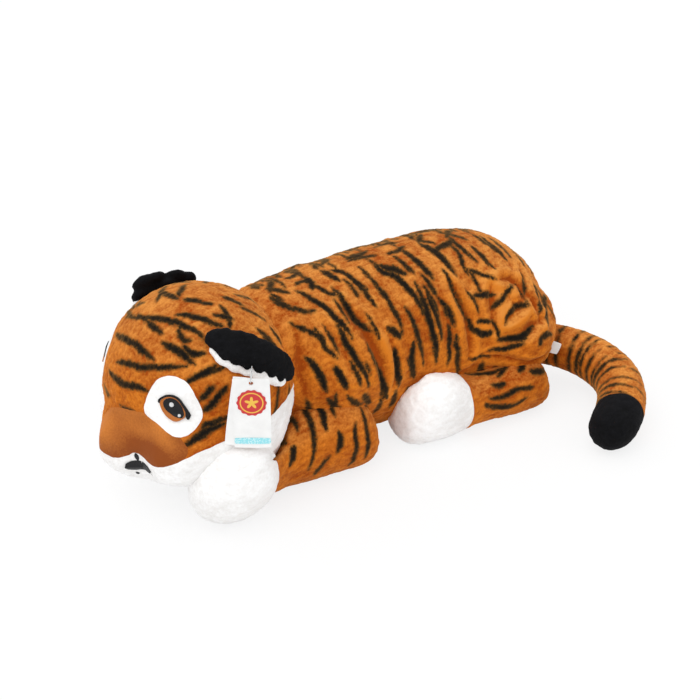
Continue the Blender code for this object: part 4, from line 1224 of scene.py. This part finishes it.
def filled_out(obj, low, high, fullness, tuck, hand):
    """Stuffs the leg fuller here and thinner there, and rounds off its hip."""
    points = points_of(obj)
    along = (high.x - points[:, 0]) / (high.x - low.x)
    stops, wide, tall, lift, lean = np.array(fullness).T
    broad = np.interp(along, stops, wide)
    half = (high.y - low.y) / 2
    middle = (high.y + low.y) / 2
    rise = (points[:, 2] - low.z) / (high.z - low.z)
    outward = np.interp(along, stops, lean) * rise
    points[:, 0] -= 0.006 * softly((along - 0.6) / 0.4) + tuck * softly(1 - along / 0.3)
    points[:, 1] = middle + (points[:, 1] - middle) * broad + hand * outward
    points[:, 2] = points[:, 2] * np.interp(along, stops, tall) + np.interp(along, stops, lift)
    set_points(obj, points)
    return obj


def balled(obj, low, high, hand):
    """Rounds the end of the fore leg into a fat paw that leans on the cheek."""
    points = points_of(obj)
    share = softly(((high.x - points[:, 0]) / (high.x - low.x) - 0.58) / 0.20)[:, None]
    arms = points - points[share[:, 0] > 0.5].mean(0)
    arms /= np.linalg.norm(arms, axis=1)[:, None]
    ball = np.array(FOREPAW_CENTRE) * (1, hand, 1) + arms * np.array(FOREPAW_HALF)
    ball[:, 1] += hand * FOREPAW_LEAN * (ball[:, 2] - FOREPAW_CENTRE[2])
    set_points(obj, points * (1 - share) + ball * share)
    return obj


class TIGER_OT_legs(bpy.types.Operator):
    """Sew the four legs and their white paws"""

    bl_idname = "tiger.legs"
    bl_label = "Legs"

    def execute(self, context):
        coat = context.scene.tiger_coat
        for leg, lines, fullness, tuck in (
            ("fore", FORELEG_STRIPES, FORELEG_FULLNESS, -0.004),
            ("hind", HINDLEG_STRIPES, HINDLEG_FULLNESS, 0.012),
        ):
            for side, hand in SIDES:
                sleeve, paw, stuffing = f"{leg}leg_{side}", f"{leg}paw_{side}", f"{leg}leg_{side}_filling"
                low, high = joined_boxes(sleeve, paw)
                nodes = (sleeve, paw, stuffing)
                whole = plumped(stuffed_form(sleeve + "_whole", nodes, LIMB_VOXEL, LIMB_SMOOTHING), 0.003)
                swollen(whole, coat.lump * 0.8, seed=hand * 2.0)
                finer(whole)
                labels = nearest_panels(whole, (sleeve, paw))
                evened_seams(whole, labels)
                filled_out(whole, low, high, fullness, tuck, hand)
                if leg == "fore":
                    balled(whole, low, high, hand)
                tree = tree_of(whole)
                stripes = drawn(tree, in_leg(low, high, hand), lines, seed=40 + hand)
                for number, (node, make) in enumerate(((sleeve, striped_fur), (paw, white_fur))):
                    piece = panel_of(whole, labels, number, node + "_coat")
                    held = border_share(piece, SEAM_REACH)
                    if node == sleeve:
                        dye(piece, stripes)
                    with_pile(piece, coat.pile, coat.clump, held=held, seed=hand)
                    if node == paw:
                        dressed(piece, make(), sleeve, (paw,))
                        continue
                    dressed(piece, make(), None, (sleeve, stuffing))
                    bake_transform(piece)
                bpy.data.objects.remove(whole)
        return {"FINISHED"}


class TIGER_OT_tail(bpy.types.Operator):
    """Sew the tail with its rings and its black tip"""

    bl_idname = "tiger.tail"
    bl_label = "Tail"

    def execute(self, context):
        coat = context.scene.tiger_coat
        nodes = ("tail", "tail_tip", "tail_filling")
        whole = plumped(stuffed_form("tail_whole", nodes, LIMB_VOXEL, LIMB_SMOOTHING), 0.002)
        finer(whole)
        labels = nearest_panels(whole, ("tail", "tail_tip"))
        evened_seams(whole, labels)
        self.laid_down(whole)
        tree = tree_of(whole)
        chance = random.Random(8)
        rings = []
        angle = 20.0
        while angle < 175:
            start = chance.uniform(-150, -110)
            while start < 120:
                end = start + chance.uniform(100, 190)
                lean = chance.uniform(-2.5, 2.5)
                rings.append(((angle, start), (angle + lean, (start + end) / 2), (angle + lean / 2, end)))
                start = end + chance.uniform(8, 24)
            angle += chance.uniform(8.4, 10.4)
        stripes = [(laid_on(tree, in_tail, ring), chance.uniform(0.42, 0.60)) for ring in rings]
        for number, (node, make) in enumerate((("tail", striped_fur), ("tail_tip", black_fur))):
            piece = panel_of(whole, labels, number, node + "_coat")
            if node == "tail":
                dye(piece, stripes)
            with_pile(piece, coat.pile * 0.8, coat.clump, held=border_share(piece, 0.005))
            if node == "tail_tip":
                dressed(piece, make(), "tail", ("tail_tip",))
                continue
            dressed(piece, make(), None, ("tail", "tail_filling"))
            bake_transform(piece)
        bpy.data.objects.remove(whole)
        return {"FINISHED"}

    def laid_down(self, obj):
        """Arches the tail a little off the floor in its bend, and lets its tip reach out."""
        points = points_of(obj)
        arm = points[:, :2] - np.array(TAIL_HUB[:2])
        bend = np.degrees(np.arctan2(arm[:, 0], arm[:, 1]))
        arch = np.sin(np.radians(np.clip((bend - 20) / 140, 0, 1) * 180))
        tip = softly((bend - 110) / 50)
        points += np.column_stack((-0.013 * tip, -0.009 * tip, 0.010 * arch))
        set_points(obj, points)


class TIGER_OT_tag(bpy.types.Operator):
    """Print the card tag, its seal and its band, and finish the loop and the sewn label"""

    bl_idname = "tiger.tag"
    bl_label = "Tag and label"

    def execute(self, context):
        card = card_finish("tag_card", srgb(247, 247, 246))
        for node in ("swing_tag_front", "swing_tag_back"):
            repaint(node, card)
        low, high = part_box("tag_seal")
        turned = math.radians(TAG_TURN)
        facing = Vector((-math.cos(turned), -math.sin(turned), 0))
        repaint("tag_seal", seal_finish("seal_print", (low + high) / 2, facing, (high.z - low.z) / 2))
        repaint("tag_band", band_finish("band_print", srgb(150, 226, 236), srgb(214, 246, 250)))
        repaint("tag_loop", plastic_finish("loop_plastic"))
        repaint("sewn_label", ribbon_finish("label_ribbon"))
        return {"FINISHED"}


class TIGER_OT_stage(bpy.types.Operator):
    """Set up the camera, the lamps, the pale floor and the white surroundings"""

    bl_idname = "tiger.stage"
    bl_label = "Stage"

    def execute(self, context):
        stage = context.scene.tiger_stage
        scene = context.scene
        scene.view_settings.view_transform = "Standard"
        flat = math.cos(stage.elevation)
        back = Vector((
            -math.sin(stage.azimuth) * flat, -math.cos(stage.azimuth) * flat, math.sin(stage.elevation)
        ))
        camera = bpy.data.objects.new("camera", bpy.data.cameras.new("camera"))
        camera.data.lens = stage.lens
        camera.data.sensor_width = SENSOR_WIDTH
        camera.location = CAMERA_AIM + back * stage.distance
        camera.rotation_euler = (-back).to_track_quat("-Z", "Y").to_euler()
        scene.collection.objects.link(camera)
        scene.camera = camera
        for name, strength, turn, rise, spread_angle in (
            ("key", stage.key_light, 62, 52, 50),
            ("fill", stage.fill_light, -30, 40, 60),
            ("top", stage.top_light, 170, 68, 70),
        ):
            lamp = bpy.data.lights.new(name, "SUN")
            lamp.energy = strength
            lamp.angle = math.radians(spread_angle)
            obj = bpy.data.objects.new(name, lamp)
            a, e = math.radians(turn), math.radians(rise)
            toward = Vector((-math.sin(a) * math.cos(e), -math.cos(a) * math.cos(e), math.sin(e)))
            obj.rotation_euler = toward.to_track_quat("Z", "Y").to_euler()
            scene.collection.objects.link(obj)
        self.surroundings(scene, stage.world_light)
        self.floor()
        return {"FINISHED"}

    def surroundings(self, scene, strength):
        """Even light on the tiger, and plain white wherever the camera or a gloss sees past it."""
        world = bpy.data.worlds.new("surroundings")
        scene.world = world
        world.use_nodes = True
        tree = world.node_tree
        tree.nodes.clear()
        seen = seen_directly(tree)
        light = add(tree, "Background", {"Color": (1, 1, 1, 1), "Strength": strength})
        white = add(tree, "Background", {"Color": (1, 1, 1, 1), "Strength": 1.0})
        mix = add(tree, "MixShader", {0: seen, 1: light.outputs[0], 2: white.outputs[0]})
        output = add(tree, "OutputWorld")
        tree.links.new(mix.outputs[0], output.inputs["Surface"])

    def floor(self):
        """White paper, which shows the tiger's shadow faintly."""
        bm = bmesh.new()
        bmesh.ops.create_grid(bm, x_segments=8, y_segments=8, size=3.0)
        mesh = bpy.data.meshes.new("floor")
        bm.to_mesh(mesh)
        bm.free()
        obj = linked("floor", mesh)
        material, tree = new_finish("paper")
        paper = add(tree, "BsdfDiffuse", {"Color": (0.92, 0.92, 0.92, 1)})
        white = add(tree, "Emission", {"Color": (1, 1, 1, 1), "Strength": 1.0})
        share = maths(tree, "MULTIPLY", seen_directly(tree), 0.82)
        mix = add(tree, "MixShader", {0: share, 1: paper.outputs[0], 2: white.outputs[0]})
        output = add(tree, "OutputMaterial")
        tree.links.new(mix.outputs[0], output.inputs["Surface"])
        mesh.materials.append(material)


def seen_directly(tree):
    """1 for rays from the camera, from a gloss or through glass, and 0 for the light itself."""
    path = add(tree, "LightPath")
    seen = maths(tree, "MAXIMUM", path.outputs["Is Camera Ray"], path.outputs["Is Glossy Ray"])
    return maths(tree, "MAXIMUM", seen, path.outputs["Is Transmission Ray"])


class TIGER_PT_panel(bpy.types.Panel):
    """Lists the tiger's pieces"""

    bl_idname = "TIGER_PT_panel"
    bl_label = "Plush Tiger"
    bl_space_type = "VIEW_3D"
    bl_region_type = "UI"
    bl_category = "Plush Tiger"

    def draw(self, context):
        for operator in OPERATORS:
            self.layout.operator(operator.bl_idname)


OPERATORS = (
    TIGER_OT_stage,
    TIGER_OT_torso,
    TIGER_OT_head,
    TIGER_OT_face,
    TIGER_OT_ears,
    TIGER_OT_legs,
    TIGER_OT_tail,
    TIGER_OT_tag,
)
CLASSES = (TigerCoatSettings, TigerStageSettings, *OPERATORS, TIGER_PT_panel)


def register():
    for made in CLASSES:
        bpy.utils.register_class(made)
    bpy.types.Scene.tiger_coat = PointerProperty(type=TigerCoatSettings)
    bpy.types.Scene.tiger_stage = PointerProperty(type=TigerStageSettings)


def unregister():
    del bpy.types.Scene.tiger_stage
    del bpy.types.Scene.tiger_coat
    for made in reversed(CLASSES):
        bpy.utils.unregister_class(made)


def main():
    register()
    bpy.ops.tiger.stage()
    bpy.ops.tiger.torso()
    bpy.ops.tiger.head()
    bpy.ops.tiger.face()
    bpy.ops.tiger.ears()
    bpy.ops.tiger.legs()
    bpy.ops.tiger.tail()
    bpy.ops.tiger.tag()


if __name__ == "__main__":
    main()
